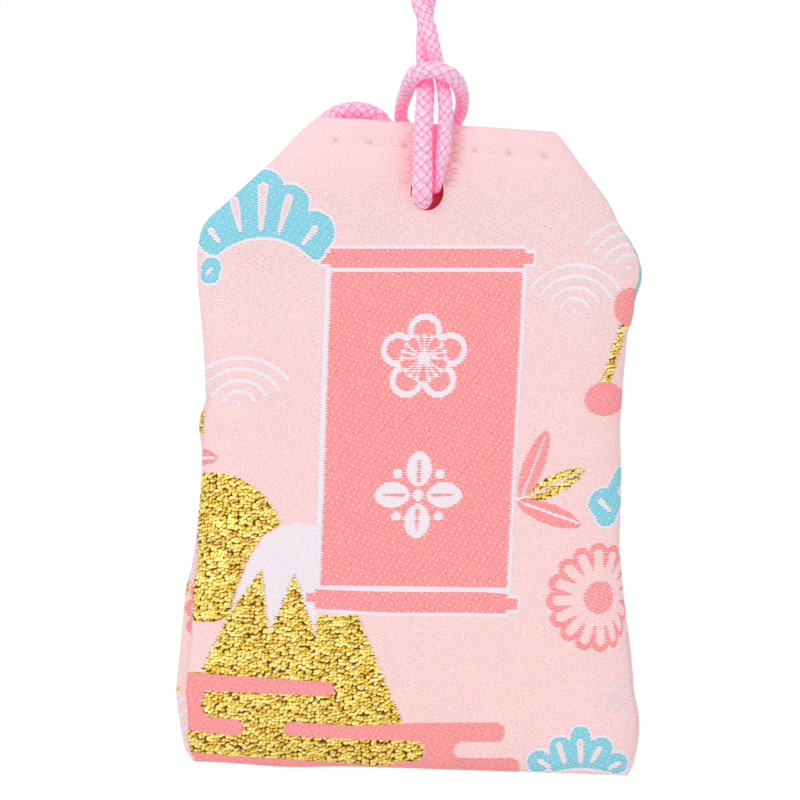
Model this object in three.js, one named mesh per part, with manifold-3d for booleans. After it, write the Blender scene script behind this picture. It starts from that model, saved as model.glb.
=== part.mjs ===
// Omamori charm: a sewn brocade pouch that hangs by a cord hitched through its hole.
// Millimetres, +Z up, the pouch's front faces -Y. The origin is where a hook holds the hanging loop.
import * as THREE from 'three';
import { mergeVertices } from 'three/addons/utils/BufferGeometryUtils.js';
import Module from 'manifold-3d';

const wasm = await Module();
wasm.setup();

// Clearances
const CLEAR = 0.3; // between pieces that touch
const THREAD_CLEAR = 0.15; // between a thread and the cloth it lies on

// Pouch outline, with drops measured down from the top edge
const POUCH_HEIGHT = 72.1;
const TOP_WIDTH = 27.4;
const SHOULDER_WIDTH = 49.4;
const SHOULDER_DROP = 14.0;
const WAIST_WIDTH = 46.6;
const WAIST_DROP = 36.0;
const BASE_WIDTH = 51.4;
const BASE_CORNER_HEIGHT = 6.5; // height of the round at each lower corner
const BASE_CORNER_WIDTH = 2.4; // how far that round draws the edge in

// Cloth of the pouch
const FABRIC_THICK = 0.5;
const LINING_THICK = 0.25;
const LINING_INSET = 4.0; // from the pouch's side edges and base
const LINING_DROP = 1.2; // from the top edge to the lining's top
const HEM_HALF_DEPTH = 1.6; // half of the flat top, with the cloth turned in
const FLAT_TOP = 16.0; // height of the flat top
const TOP_SWELL = 10.0; // height over which the pouch swells below it
const SIDE_SWELL = 6.5; // width over which the sides swell
const BASE_SWELL = 7.0; // height over which the base swells

// Contents: padding, card and folded paper, from front to back
const PADDING_THICK = 0.8;
const CARD_THICK = 0.7;
const INSERT_CORNER = 3.0; // of the padding and the card
const SLIP_LEAF = 0.18;
const SLIP_FOLD_GAP = 0.14;
const SLIP_MARGIN = 3.2; // from the slip's edges to the card's

// Hole for the cord, an upright slot with round ends
const HOLE_DROP = 7.7; // from the top edge to the point the pouch sways about
const HOLE_WIDTH = 4.3;
const HOLE_ABOVE = 3.6; // reach of the slot over that point
const HOLE_BELOW = 2.3; // reach of the slot under it

// Sewing
const THREAD_DIAMETER = 0.3;
const STITCH_PITCH = 3.8;
const STITCH_DROP = 2.5; // from the top edge to the row of stitches
const STITCH_MARGIN = 2.0; // from the row's ends to the pouch's edge
const SIDE_SEAM_INSET = 0.6; // from the side seams' threads to the pouch's edges
const BASE_SEAM_INSET = 0.2; // from the base seam's thread to the base
const STITCH_DIP = 0.1; // depth of the thread's dip at each stitch end

// Cord
const CORD_DIAMETER = 2.0;
const HANG_DROP = 60.0; // from the hook to the hole
const HANG_TILT = 2.4; // degrees that the pouch leans, clockwise from the front
const HANG_AXIS = new THREE.Vector2(-0.2, -0.8); // the loop's upright axis, seen from the hole
const NECK_LOW = 15.5; // cuts of the strands, above the hole
const NECK_HIGH = 26.0;
const KNOT_HEIGHT = 6.0; // knot that ties the cord's two ends
const KNOT_RADIUS = 3.1;
const KNOT_BOTTOM = 65.0; // above the hole
const TAIL_LENGTH = 8.5;
const TAIL_START = 1.3; // from the axis to a tail's root
const TAIL_SPREAD = 1.6; // how far its end leans out
const TAIL_SKEW = 0.5; // and how far to the front or the back

// Knot on the back of the pouch
const CORE_WIDTH = 6.6;
const CORE_HEIGHT = 6.8;
const CORE_DEPTH = 4.0;
const CORE_MIDDLE = new THREE.Vector2(0.2, 3.0); // across and above the hole
const CORE_BEVEL = 0.7;

// Fineness of the surfaces
const CORD_SIDES = 8;
const THREAD_SIDES = 6;
const KNOT_SIDES = 16;
const ARC_SEGMENTS = 6;
const BEVEL_SEGMENTS = 2;
const PANEL_ROWS = 24;
const PANEL_COLUMNS = 16;
const LINING_ROWS = 15;
const LINING_COLUMNS = 10;
const ROW_CROWDING = 0.8; // under 1 to draw the upper rows down the sheet
const ARCH_STEPS = 24;
const EAR_STEPS = 20;
const TAIL_STEPS = 5;
const HALVINGS = 40; // of the search for a height on a route

// Derived sizes
const SLIP_THICK = 2 * SLIP_LEAF + SLIP_FOLD_GAP;
const STACK = PADDING_THICK + CARD_THICK + SLIP_THICK + 2 * CLEAR;
const CROWN_HALF_DEPTH = STACK / 2 + CLEAR + LINING_THICK + CLEAR + FABRIC_THICK;
const SEAM_HALF_DEPTH = FABRIC_THICK + CLEAR / 2;
const CORE_FRONT = HEM_HALF_DEPTH + THREAD_CLEAR + THREAD_DIAMETER + CLEAR;
const INSERT_BOTTOM = HOLE_DROP - POUCH_HEIGHT + BASE_SWELL; // heights of the padding and the card
const INSERT_TOP = HOLE_DROP - FLAT_TOP - TOP_SWELL;
const INSERT_WIDTH = WAIST_WIDTH - 2 * SIDE_SWELL;

const clamp01 = (u) => Math.min(1, Math.max(0, u));
const ease = (u) => clamp01(u) ** 2 * (3 - 2 * clamp01(u));
const swell = (u) => Math.sqrt(1 - (1 - clamp01(u)) ** 2);
const lerp = THREE.MathUtils.lerp;

// Half of the pouch's width at a drop below its top edge
function halfWidth(drop) {
  const cornerTop = POUCH_HEIGHT - BASE_CORNER_HEIGHT;
  if (drop < SHOULDER_DROP) {
    return lerp(TOP_WIDTH, SHOULDER_WIDTH, drop / SHOULDER_DROP) / 2;
  }
  if (drop < WAIST_DROP) {
    const u = (drop - SHOULDER_DROP) / (WAIST_DROP - SHOULDER_DROP);
    return lerp(SHOULDER_WIDTH, WAIST_WIDTH, ease(u)) / 2;
  }
  const u = (drop - WAIST_DROP) / (cornerTop - WAIST_DROP);
  const corner = clamp01((drop - cornerTop) / BASE_CORNER_HEIGHT);
  const drawnIn = BASE_CORNER_WIDTH * (1 - Math.sqrt(1 - corner ** 2));
  return lerp(WAIST_WIDTH, BASE_WIDTH, ease(u)) / 2 - drawnIn;
}

// Half of the pouch's depth at a place on its face
function halfDepth(x, drop) {
  const side = swell((halfWidth(drop) - Math.abs(x)) / SIDE_SWELL);
  const base = swell((POUCH_HEIGHT - drop) / BASE_SWELL);
  const full = lerp(HEM_HALF_DEPTH, CROWN_HALF_DEPTH, ease((drop - FLAT_TOP) / TOP_SWELL));
  return SEAM_HALF_DEPTH + (full - SEAM_HALF_DEPTH) * side * base;
}

// Heights in the pouch's own frame, whose origin is the point it sways about
const heightOf = (drop) => HOLE_DROP - drop;

// Drops of the rows of a sheet, closer together at the round lower corners
function rowDrops(top, bottom, rows) {
  const drops = [];
  for (let j = 0; j <= rows; j += 1) {
    drops.push(lerp(top, bottom, Math.sin((j / rows) * Math.PI / 2) ** ROW_CROWDING));
  }
  const shoulder = drops.findIndex((drop) => drop > SHOULDER_DROP);
  drops[shoulder] = SHOULDER_DROP;
  return drops;
}

// A closed sheet behind the middle plane, between an inner and an outer half depth
function sheet({ drops, columns, inset, outer, thick }) {
  const position = [];
  const index = [];
  const width = columns + 1;
  const layer = drops.length * width;
  for (const inward of [0, thick]) {
    for (const drop of drops) {
      const half = halfWidth(drop) - inset;
      for (let i = 0; i <= columns; i += 1) {
        const x = half * (2 * i / columns - 1);
        position.push(x, outer(x, drop) - inward, heightOf(drop));
      }
    }
  }
  const quad = (a, b, c, d) => index.push(a, b, c, a, c, d);
  for (let j = 0; j + 1 < drops.length; j += 1) {
    for (let i = 0; i < columns; i += 1) {
      const a = j * width + i;
      quad(a, a + 1, a + 1 + width, a + width);
      quad(layer + a, layer + a + width, layer + a + 1 + width, layer + a + 1);
    }
    const left = j * width;
    const right = left + columns;
    quad(left, left + width, layer + left + width, layer + left);
    quad(right, layer + right, layer + right + width, right + width);
  }
  const last = layer - width;
  for (let i = 0; i < columns; i += 1) {
    quad(i, layer + i, layer + i + 1, i + 1);
    quad(last + i, last + i + 1, layer + last + i + 1, layer + last + i);
  }
  const geometry = new THREE.BufferGeometry();
  geometry.setAttribute('position', new THREE.Float32BufferAttribute(position, 3));
  geometry.setIndex(index);
  return geometry;
}

// The same sheet in front of the middle plane
function mirrored(geometry) {
  const front = geometry.clone().scale(1, -1, 1);
  const index = front.index.array;
  for (let i = 0; i < index.length; i += 3) {
    [index[i + 1], index[i + 2]] = [index[i + 2], index[i + 1]];
  }
  return front;
}

function toSolid(geometry) {
  const bare = geometry.clone();
  bare.deleteAttribute('normal');
  bare.deleteAttribute('uv');
  const merged = mergeVertices(bare);
  const vertProperties = Float32Array.from(merged.attributes.position.array);
  const triVerts = Uint32Array.from(merged.index.array);
  return new wasm.Manifold(new wasm.Mesh({ numProp: 3, vertProperties, triVerts }));
}

function toGeometry(solid) {
  const mesh = solid.getMesh();
  const geometry = new THREE.BufferGeometry();
  geometry.setAttribute('position', new THREE.Float32BufferAttribute(mesh.vertProperties, 3));
  geometry.setIndex(Array.from(mesh.triVerts));
  return geometry;
}

// An upright outline, drawn in X and Z, extruded from one depth back to another
function upright(shape, front, back, options = {}) {
  const settings = { depth: back - front, bevelEnabled: false, curveSegments: ARC_SEGMENTS, ...options };
  const geometry = new THREE.ExtrudeGeometry(shape, settings);
  return geometry.rotateX(Math.PI / 2).translate(0, back, 0);
}

function roundedRectangle(width, bottom, top, corner) {
  const half = width / 2;
  const shape = new THREE.Shape();
  shape.absarc(half - corner, top - corner, corner, 0, Math.PI / 2);
  shape.absarc(corner - half, top - corner, corner, Math.PI / 2, Math.PI);
  shape.absarc(corner - half, bottom + corner, corner, Math.PI, 1.5 * Math.PI);
  shape.absarc(half - corner, bottom + corner, corner, 1.5 * Math.PI, 2 * Math.PI);
  return shape;
}

// The slot for the cord, cut through both faces
function withHole(geometry) {
  const reach = CROWN_HALF_DEPTH + CLEAR;
  const slot = upright(roundedRectangle(HOLE_WIDTH, -HOLE_BELOW, HOLE_ABOVE, HOLE_WIDTH / 2), -reach, reach);
  return toGeometry(toSolid(geometry).subtract(toSolid(slot)));
}

// A tube of regular section along a curve
function tube(curve, diameter, sides, steps) {
  const section = new THREE.Shape();
  for (let i = 0; i < sides; i += 1) {
    const angle = (i / sides) * 2 * Math.PI;
    const point = [Math.cos(angle) * diameter / 2, Math.sin(angle) * diameter / 2];
    if (i === 0) section.moveTo(...point);
    else section.lineTo(...point);
  }
  section.closePath();
  return new THREE.ExtrudeGeometry(section, { steps, extrudePath: curve, bevelEnabled: false });
}

const curveThrough = (points) =>
  new THREE.CatmullRomCurve3(points.map((point) => new THREE.Vector3(...point)), false, 'centripetal');

const palette = {
  brocade: { color: 0xf6cccb, roughness: 0.72, metalness: 0 },
  lining: { color: 0x9c1f2c, roughness: 0.8, metalness: 0 },
  padding: { color: 0xf4f1ea, roughness: 0.95, metalness: 0 },
  card: { color: 0xb9986c, roughness: 0.9, metalness: 0 },
  paper: { color: 0xfaf7ee, roughness: 0.85, metalness: 0 },
  thread: { color: 0xf7dede, roughness: 0.55, metalness: 0 },
  cord: { color: 0xfa93bf, roughness: 0.5, metalness: 0 },
};

function piece(parent, name, finish, geometry) {
  const mesh = new THREE.Mesh(geometry, new THREE.MeshStandardMaterial(palette[finish]));
  mesh.name = name;
  parent.add(mesh);
}

// Pouch: face panels and linings
function addCloth(pouch) {
  const panel = sheet({
    drops: rowDrops(0, POUCH_HEIGHT, PANEL_ROWS),
    columns: PANEL_COLUMNS,
    inset: 0,
    outer: halfDepth,
    thick: FABRIC_THICK,
  });
  const lining = sheet({
    drops: rowDrops(LINING_DROP, POUCH_HEIGHT - LINING_INSET, LINING_ROWS),
    columns: LINING_COLUMNS,
    inset: LINING_INSET,
    outer: (x, drop) => halfDepth(x, drop) - FABRIC_THICK - CLEAR,
    thick: LINING_THICK,
  });
  piece(pouch, 'front_panel', 'brocade', withHole(mirrored(panel)));
  piece(pouch, 'back_panel', 'brocade', withHole(panel));
  piece(pouch, 'front_lining', 'lining', withHole(mirrored(lining)));
  piece(pouch, 'back_lining', 'lining', withHole(lining));
}

// Pouch: what it holds, stacked from front to back
function addContents(pouch) {
  const outline = roundedRectangle(INSERT_WIDTH, INSERT_BOTTOM, INSERT_TOP, INSERT_CORNER);
  const paddingFront = -STACK / 2;
  const cardFront = paddingFront + PADDING_THICK + CLEAR;
  const slipFront = cardFront + CARD_THICK + CLEAR;
  piece(pouch, 'padding_sheet', 'padding', upright(outline, paddingFront, paddingFront + PADDING_THICK));
  piece(pouch, 'stiffener_card', 'card', upright(outline, cardFront, cardFront + CARD_THICK));

  // One sheet of paper folded at its lower edge, drawn from its side
  const slipHeight = INSERT_TOP - INSERT_BOTTOM - 2 * SLIP_MARGIN;
  const slipWidth = INSERT_WIDTH - 2 * SLIP_MARGIN;
  const fold = new THREE.Shape();
  fold.moveTo(0, 0);
  fold.lineTo(SLIP_THICK, 0);
  fold.lineTo(SLIP_THICK, slipHeight);
  fold.lineTo(SLIP_THICK - SLIP_LEAF, slipHeight);
  fold.lineTo(SLIP_THICK - SLIP_LEAF, SLIP_LEAF);
  fold.lineTo(SLIP_LEAF, SLIP_LEAF);
  fold.lineTo(SLIP_LEAF, slipHeight);
  fold.lineTo(0, slipHeight);
  const slip = new THREE.ExtrudeGeometry(fold, { depth: slipWidth, bevelEnabled: false });
  slip.rotateX(Math.PI / 2).rotateZ(Math.PI / 2);
  slip.translate(-slipWidth / 2, slipFront, INSERT_BOTTOM + SLIP_MARGIN);
  piece(pouch, 'prayer_slip', 'paper', slip);
}

// A thread that dips at the end of every stitch, along a route given by its length share
function stitchedThread(route, length, dip) {
  const stitches = Math.max(2, Math.round(length / STITCH_PITCH));
  const points = [];
  for (let i = 0; i <= 2 * stitches; i += 1) {
    const point = route(i / (2 * stitches));
    points.push([point[0], point[1] + (i % 2 === 0 ? dip : 0), point[2]]);
  }
  return tube(curveThrough(points), THREAD_DIAMETER, THREAD_SIDES, 4 * stitches);
}

// Pouch: the row of stitches along the top, and the seams inside the edges
function addSewing(pouch) {
  const rowHalf = halfWidth(STITCH_DROP) - STITCH_MARGIN;
  for (const [name, side] of [['top_stitch_front', -1], ['top_stitch_back', 1]]) {
    const row = (u) => {
      const x = lerp(-rowHalf, rowHalf, u);
      const off = halfDepth(x, STITCH_DROP) + THREAD_CLEAR + THREAD_DIAMETER / 2;
      return [x, side * off, heightOf(STITCH_DROP)];
    };
    piece(pouch, name, 'thread', stitchedThread(row, 2 * rowHalf, -side * STITCH_DIP));
  }
  const seamTop = STITCH_DROP + STITCH_PITCH;
  const seamBottom = POUCH_HEIGHT - BASE_CORNER_HEIGHT;
  for (const [name, side] of [['left_seam_thread', -1], ['right_seam_thread', 1]]) {
    const seam = (u) => {
      const drop = lerp(seamTop, seamBottom, u);
      return [side * (halfWidth(drop) - SIDE_SEAM_INSET), 0, heightOf(drop)];
    };
    piece(pouch, name, 'thread', stitchedThread(seam, seamBottom - seamTop, STITCH_DIP));
  }
  const baseDrop = POUCH_HEIGHT - BASE_SEAM_INSET;
  const baseHalf = halfWidth(baseDrop) - BASE_CORNER_HEIGHT;
  const baseSeam = (u) => [lerp(-baseHalf, baseHalf, u), 0, heightOf(baseDrop)];
  piece(pouch, 'bottom_seam_thread', 'thread', stitchedThread(baseSeam, 2 * baseHalf, STITCH_DIP));
}

// Routes of the two strands from the back of the hole, up the front and through the hitch to the end knot
const leftRoute = curveThrough([
  [-0.55, 2.05, -1.1], [-0.55, 0.4, -1.1], [-0.58, -1.5, -1.0], [-0.65, -2.9, 0.2], [-0.7, -3.4, 1.9],
  [-0.65, -3.3, 4.2], [-0.5, -3.2, 6.6], [-0.4, -3.1, 8.8], [-0.3, -2.2, 11.2], [-0.2, -1.0, 13.4],
  [-0.15, 0.2, 15.5], [-0.15, 0.5, 18.4], [0.2, 0.2, 21.7], [0.8, -0.6, 24.6], [0.95, -0.8, 26.0],
  [1.1, -0.8, 28.5], [1.8, -0.8, 36.0], [2.9, -0.8, 46.0], [3.4, -0.8, 54.0], [2.9, -0.8, 59.5],
  [1.6, -0.8, 63.0], [0.9, -0.8, 64.7],
]);
const rightRoute = curveThrough([
  [0.7, 2.05, 1.2], [0.7, 0.4, 1.2], [0.8, -0.9, 1.3], [0.9, -2.1, 1.8], [1.4, -2.9, 3.1],
  [1.75, -3.2, 5.0], [1.85, -3.2, 6.6], [1.95, -3.1, 8.8], [2.0, -2.6, 11.2], [1.8, -2.2, 13.4],
  [0.75, -1.95, 15.5], [0.0, -2.0, 18.4], [-0.82, -1.8, 21.7], [-1.25, -1.0, 24.6], [-1.35, -0.8, 26.0],
  [-1.5, -0.8, 28.5], [-2.2, -0.8, 36.0], [-3.3, -0.8, 46.0], [-3.8, -0.8, 54.0], [-3.3, -0.8, 59.5],
  [-2.0, -0.8, 63.0], [-1.3, -0.8, 64.7],
]);

// The bight that comes over the top edge from the knot behind and round the front of both strands
const archRoute = curveThrough([
  [-2.0, 4.3, 6.8], [-2.05, 4.3, 7.3], [-2.7, 3.8, 8.5], [-3.2, 2.7, 10.1], [-3.1, 0.7, 11.8],
  [-2.45, -1.9, 13.0], [-1.2, -3.8, 13.6], [0.6, -4.6, 13.75], [2.5, -4.5, 13.5], [3.9, -3.4, 12.7],
  [4.4, -1.2, 11.7], [4.3, 1.2, 10.7], [3.8, 3.1, 9.4], [2.9, 4.1, 8.1], [2.45, 4.3, 7.3], [2.4, 4.3, 6.8],
]);

// The knot's two ears, one standing up past the top edge and one drooping
const leftEarRoute = curveThrough([
  [-3.5, 4.3, 4.3], [-4.0, 4.3, 4.4], [-4.7, 4.2, 5.5], [-5.0, 4.1, 7.3], [-6.3, 3.9, 8.8],
  [-8.3, 3.7, 9.3], [-10.8, 3.6, 8.5], [-12.3, 3.6, 6.3], [-12.2, 3.6, 3.7], [-10.6, 3.7, 1.6],
  [-8.0, 3.9, 0.7], [-5.6, 4.2, 1.4], [-4.3, 4.3, 1.8], [-3.5, 4.3, 1.9],
]);
const rightEarRoute = curveThrough([
  [3.9, 4.3, 4.2], [4.9, 4.25, 4.35], [6.3, 4.1, 4.9], [8.2, 3.9, 5.1], [10.6, 3.7, 4.0],
  [12.0, 3.6, 1.7], [11.6, 3.6, -0.9], [9.7, 3.7, -2.6], [7.5, 3.9, -2.3], [5.9, 4.1, -0.6],
  [5.1, 4.25, 1.0], [4.5, 4.3, 1.6], [3.9, 4.3, 1.75],
]);

// The part of a route between two heights above the hole, clear of what it meets at a cut
function stretch(route, low, high) {
  const shareAt = (height) => {
    let below = 0;
    let above = 1;
    for (let i = 0; i < HALVINGS; i += 1) {
      const middle = (below + above) / 2;
      if (route.getPointAt(middle).z < height) below = middle;
      else above = middle;
    }
    return below;
  };
  const from = low === null ? 0 : shareAt(low + CLEAR / 2);
  const to = high === null ? 1 : shareAt(high - CLEAR / 2);
  const count = Math.max(4, Math.round((to - from) * route.getLength() / CORD_DIAMETER));
  const points = [];
  for (let i = 0; i <= count; i += 1) points.push(route.getPointAt(lerp(from, to, i / count)).toArray());
  return tube(curveThrough(points), CORD_DIAMETER, CORD_SIDES, count);
}

// Cord: both strands in three stretches, the end knot and its tails, and the hitch with its knot
function addCord(cord) {
  for (const [side, route] of [['left', leftRoute], ['right', rightRoute]]) {
    piece(cord, `front_strand_${side}`, 'cord', stretch(route, null, NECK_LOW));
    piece(cord, `neck_strand_${side}`, 'cord', stretch(route, NECK_LOW, NECK_HIGH));
    piece(cord, `loop_strand_${side}`, 'cord', stretch(route, NECK_HIGH, null));
  }

  const knotTop = KNOT_BOTTOM + KNOT_HEIGHT;
  const profile = [[0, 0], [0.84, 0], [1, 0.25], [1, 0.75], [0.84, 1], [0, 1]].map(
    ([out, up]) => new THREE.Vector2(out * KNOT_RADIUS, up * KNOT_HEIGHT),
  );
  const knot = new THREE.LatheGeometry(profile, KNOT_SIDES).rotateX(Math.PI / 2);
  piece(cord, 'end_knot', 'cord', knot.translate(HANG_AXIS.x, HANG_AXIS.y, KNOT_BOTTOM));
  for (const [name, side] of [['tail_left', -1], ['tail_right', 1]]) {
    const tail = [0, 0.3, 0.65, 1].map((u) => [
      HANG_AXIS.x + side * (TAIL_START + TAIL_SPREAD * u * u),
      HANG_AXIS.y - side * TAIL_SKEW * u,
      knotTop + CLEAR + u * TAIL_LENGTH,
    ]);
    piece(cord, name, 'cord', tube(curveThrough(tail), CORD_DIAMETER, CORD_SIDES, TAIL_STEPS));
  }

  piece(cord, 'hitch_arch', 'cord', tube(archRoute, CORD_DIAMETER, CORD_SIDES, ARCH_STEPS));
  piece(cord, 'left_ear', 'cord', tube(leftEarRoute, CORD_DIAMETER, CORD_SIDES, EAR_STEPS));
  piece(cord, 'right_ear', 'cord', tube(rightEarRoute, CORD_DIAMETER, CORD_SIDES, EAR_STEPS));
  const face = roundedRectangle(
    CORE_WIDTH - 2 * CORE_BEVEL,
    CORE_MIDDLE.y - CORE_HEIGHT / 2 + CORE_BEVEL,
    CORE_MIDDLE.y + CORE_HEIGHT / 2 - CORE_BEVEL,
    CORE_BEVEL,
  );
  const bevel = {
    bevelEnabled: true,
    bevelThickness: CORE_BEVEL,
    bevelSize: CORE_BEVEL,
    bevelSegments: BEVEL_SEGMENTS,
  };
  const coreBack = CORE_FRONT + CORE_DEPTH;
  const core = upright(face, CORE_FRONT + CORE_BEVEL, coreBack - CORE_BEVEL, bevel);
  piece(cord, 'knot_core', 'cord', core.translate(CORE_MIDDLE.x, 0, 0));
}

const charm = new THREE.Group();
const holePlace = new THREE.Vector3(-HANG_AXIS.x, -HANG_AXIS.y, -HANG_DROP);

const pouch = new THREE.Group();
pouch.position.copy(holePlace);
pouch.rotation.y = THREE.MathUtils.degToRad(HANG_TILT);
addCloth(pouch);
addContents(pouch);
addSewing(pouch);
charm.add(pouch);

const cord = new THREE.Group();
cord.position.copy(holePlace);
addCord(cord);
charm.add(cord);

export default charm;
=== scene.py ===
"""Looks of the omamori charm: brocade pouch, braided cord and sewing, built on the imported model.

Shapes are worked out in millimetres, in the pouch's own frame or from its hole, and placed in metres.
"""
import math

import bmesh
import bpy
import numpy as np
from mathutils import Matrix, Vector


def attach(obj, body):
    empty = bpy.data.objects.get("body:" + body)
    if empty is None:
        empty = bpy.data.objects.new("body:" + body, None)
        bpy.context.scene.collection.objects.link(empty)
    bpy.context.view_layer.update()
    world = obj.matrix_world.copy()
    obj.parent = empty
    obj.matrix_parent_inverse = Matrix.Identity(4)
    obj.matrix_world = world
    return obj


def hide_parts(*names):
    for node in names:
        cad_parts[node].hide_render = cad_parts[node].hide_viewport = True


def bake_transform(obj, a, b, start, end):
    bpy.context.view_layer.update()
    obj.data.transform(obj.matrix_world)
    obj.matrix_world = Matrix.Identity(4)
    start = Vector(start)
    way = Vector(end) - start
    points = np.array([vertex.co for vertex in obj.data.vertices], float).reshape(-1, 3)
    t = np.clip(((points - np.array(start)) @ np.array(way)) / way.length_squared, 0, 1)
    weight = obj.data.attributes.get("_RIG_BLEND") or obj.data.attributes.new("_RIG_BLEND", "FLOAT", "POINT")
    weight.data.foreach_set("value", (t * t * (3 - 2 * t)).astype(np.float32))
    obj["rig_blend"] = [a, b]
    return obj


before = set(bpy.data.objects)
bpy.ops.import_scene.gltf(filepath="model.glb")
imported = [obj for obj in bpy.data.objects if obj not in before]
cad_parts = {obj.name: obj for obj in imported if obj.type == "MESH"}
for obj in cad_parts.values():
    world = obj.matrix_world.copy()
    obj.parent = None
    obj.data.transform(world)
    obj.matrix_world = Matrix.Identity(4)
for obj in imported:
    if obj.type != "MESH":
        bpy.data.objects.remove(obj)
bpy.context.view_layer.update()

MM = 0.001
HOLE = np.array([0.2, 0.8, -60.0])  # the point the pouch sways about
TILT = math.radians(2.4)  # how far the pouch leans
TURN = 2 * math.pi
WHITE = (1, 1, 1, 1)

# Pouch outline in its own frame: height above the hole and place across
TOP = 7.9
BASE = -64.4
TOP_SLOPE = -0.022  # the top edge falls a little to the right
SLOPE_FADE = 12.0
LEFT_EDGE = [
    (8.7, -12.0), (8.0, -13.0), (6.1, -14.9), (3.3, -17.25), (-0.4, -21.0), (-2.3, -22.9),
    (-3.6, -24.4), (-5.1, -25.25), (-7.8, -25.55), (-11.2, -25.3), (-17.8, -24.4), (-24.3, -23.8),
    (-25.6, -24.3), (-27.1, -24.5), (-29.5, -24.05), (-33.0, -24.0), (-40.7, -24.35), (-43.4, -24.7),
    (-44.9, -25.15), (-50.2, -25.4), (-56.9, -25.8), (-59.6, -25.35), (-62.2, -24.8), (-63.7, -24.4),
    (-64.6, -23.5),
]
RIGHT_EDGE = [
    (8.3, 13.2), (7.3, 14.4), (6.4, 15.3), (4.7, 16.6), (0.4, 20.2), (-1.2, 21.15), (-2.3, 21.6),
    (-3.1, 22.2), (-4.9, 23.5), (-6.4, 24.2), (-8.0, 24.55), (-9.1, 24.4), (-10.4, 23.95),
    (-13.1, 23.7), (-14.5, 23.2), (-20.0, 22.95), (-25.3, 22.8), (-30.6, 23.2), (-38.7, 23.3),
    (-44.0, 24.0), (-50.7, 25.1), (-54.8, 25.6), (-56.6, 26.05), (-57.4, 26.25), (-59.4, 26.35),
    (-61.5, 26.15), (-63.2, 25.85), (-64.4, 25.2),
]
BASE_SLOPE = 0.009  # the base rises a little to the right
BASE_FADE = 5.0
BASE_DIP = 0.3  # where the base hangs lowest
DIP_MIDDLE = -13.2
DIP_HALF = 5.0
EDGE_ACROSS = (-17.0, 18.0)  # about where the sloping edges are, above the shoulders
EDGE_ROUND = 0.6  # half of the height over which the outline's corners are rounded

# Pouch section
HEM_DEPTH = 1.6
CROWN_DEPTH = 2.65
FLAT_TOP = 16.0
TOP_SWELL = 10.0
SIDE_SWELL = 6.5
BASE_SWELL = 7.0
LIP_RADIUS = 0.75  # of the cloth turned in along the top
LIP_REACH = 3.0
SEAM_DENT = 0.14
SEAM_WIDTH = 0.5
SEAM_SHADE = 0.22
SEAM_FADE = 0.7  # from a seam to where the cloth's puckers are full
GRID = 0.2  # spacing of the cloth's mesh
ROLL_ROWS = 14  # over the turned-in top
BASE_ROWS = 42
SIDE_COLUMNS = 38
PANEL_WIDTH = 50.0  # about, for the number of columns
GOLD_RAISED = 0.1
GOLD_EDGE = 0.2

# Puckers at the side seams and at the base, with the length and slant of each ripple
SIDE_PUCKER = 0.17
SIDE_PUCKER_FADE = 3.2
SIDE_RIPPLES = ((5.3, 0.45), (3.1, -0.3))
BASE_PUCKER = 0.2
BASE_PUCKER_FADE = 3.0
BASE_RIPPLES = ((7.4, 0.2), (4.1, 0.0))

# How far the seams lie round on the front, where the back panel shows past them: height and width
LEFT_SEAM = [
    (8, 0.0), (-22.5, 0.0), (-25, 0.4), (-28, 0.45), (-29.5, 0.0), (-39, 0.0), (-43, 0.5), (-47, 0.9),
    (-52, 1.05), (-59, 1.0), (-61.5, 0.6), (-63, 0.35), (-64.4, 0.2),
]
RIGHT_SEAM = [
    (8, 0.0), (-3.8, 0.0), (-4.6, 0.14), (-5.6, 0.14), (-6.2, 0.0), (-7, 0.02), (-7.8, 0.22),
    (-9.5, 0.24), (-10.6, 0.1), (-11.5, 0.0), (-47, 0.0), (-49, 0.2), (-58, 0.22), (-62, 0.0),
]

# Hole in the cloth
HOLE_MIDDLE = (0.0, 0.25)
HOLE_HALF = (1.85, 2.1)
HOLE_BLOCK = 1.5  # half of the square of mesh that is opened into the hole
HOLE_REACH = 2.6  # in blocks, how far the mesh is drawn round the hole
HOLE_RIM = 0.9
# painted shade on the cloth turned in round the hole
RIM_DARK = 1.7
RIM_SEARCH = 3.2  # from the middle to past the hole's edge
SHRINK_TOWARDS = math.radians(-40)
SHRINK_LEAST = 0.17

# Cloth under and beside the cord, painted with the cord's bounce light and shade
BOUNCE_MIDDLE = 0.2
BOUNCE_LEAN = 0.06
BOUNCE_HALF = 1.25
BOUNCE_FOOT = 0.2
BOUNCE_FADE = 1.5
BESIDE_MOST = 0.5
BESIDE_START = 1.8
BESIDE_WIDTH = 1.1

# Sewing along the top
STITCH_HEIGHT = 5.2
STITCH_SLOPE = -0.035
STITCH_PITCH = 3.9
STITCH_START = -10.45
STITCH_COUNT = 6
STITCH_ENDS = (-14.2, 16.2)
STITCH_STEP = 0.1
STITCH_RISE = 1.6  # in radii of the thread
STITCH_SINK = 1.4
GROOVE = (0.16, 0.55)  # depth and half width of the dent along the row
DIMPLE = (0.2, 0.45)  # and of the dent at each hole
CORD_ACROSS = (0.6, 2.4)  # middle and half width of the place where the cord hides the stitches
PRICK_HALF = (0.4, 0.16)  # of the mark round a hole that the needle made, with painted shade in it
PRICK_DARK = 1.0
THREAD_RADIUS = 0.11
THREAD_SIDES = 12
THREAD_PLY = 0.15
THREAD_LAY = 0.9
SEAM_INSET = 1.3
SEAM_DIP = 0.08
SEAM_STEP = 0.2
SEAM_WAVE = 24  # points
SEAM_ENDS = (6.3, 6.5)  # below the top and above the base
BASE_SEAM_HALF = 19.0

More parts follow.
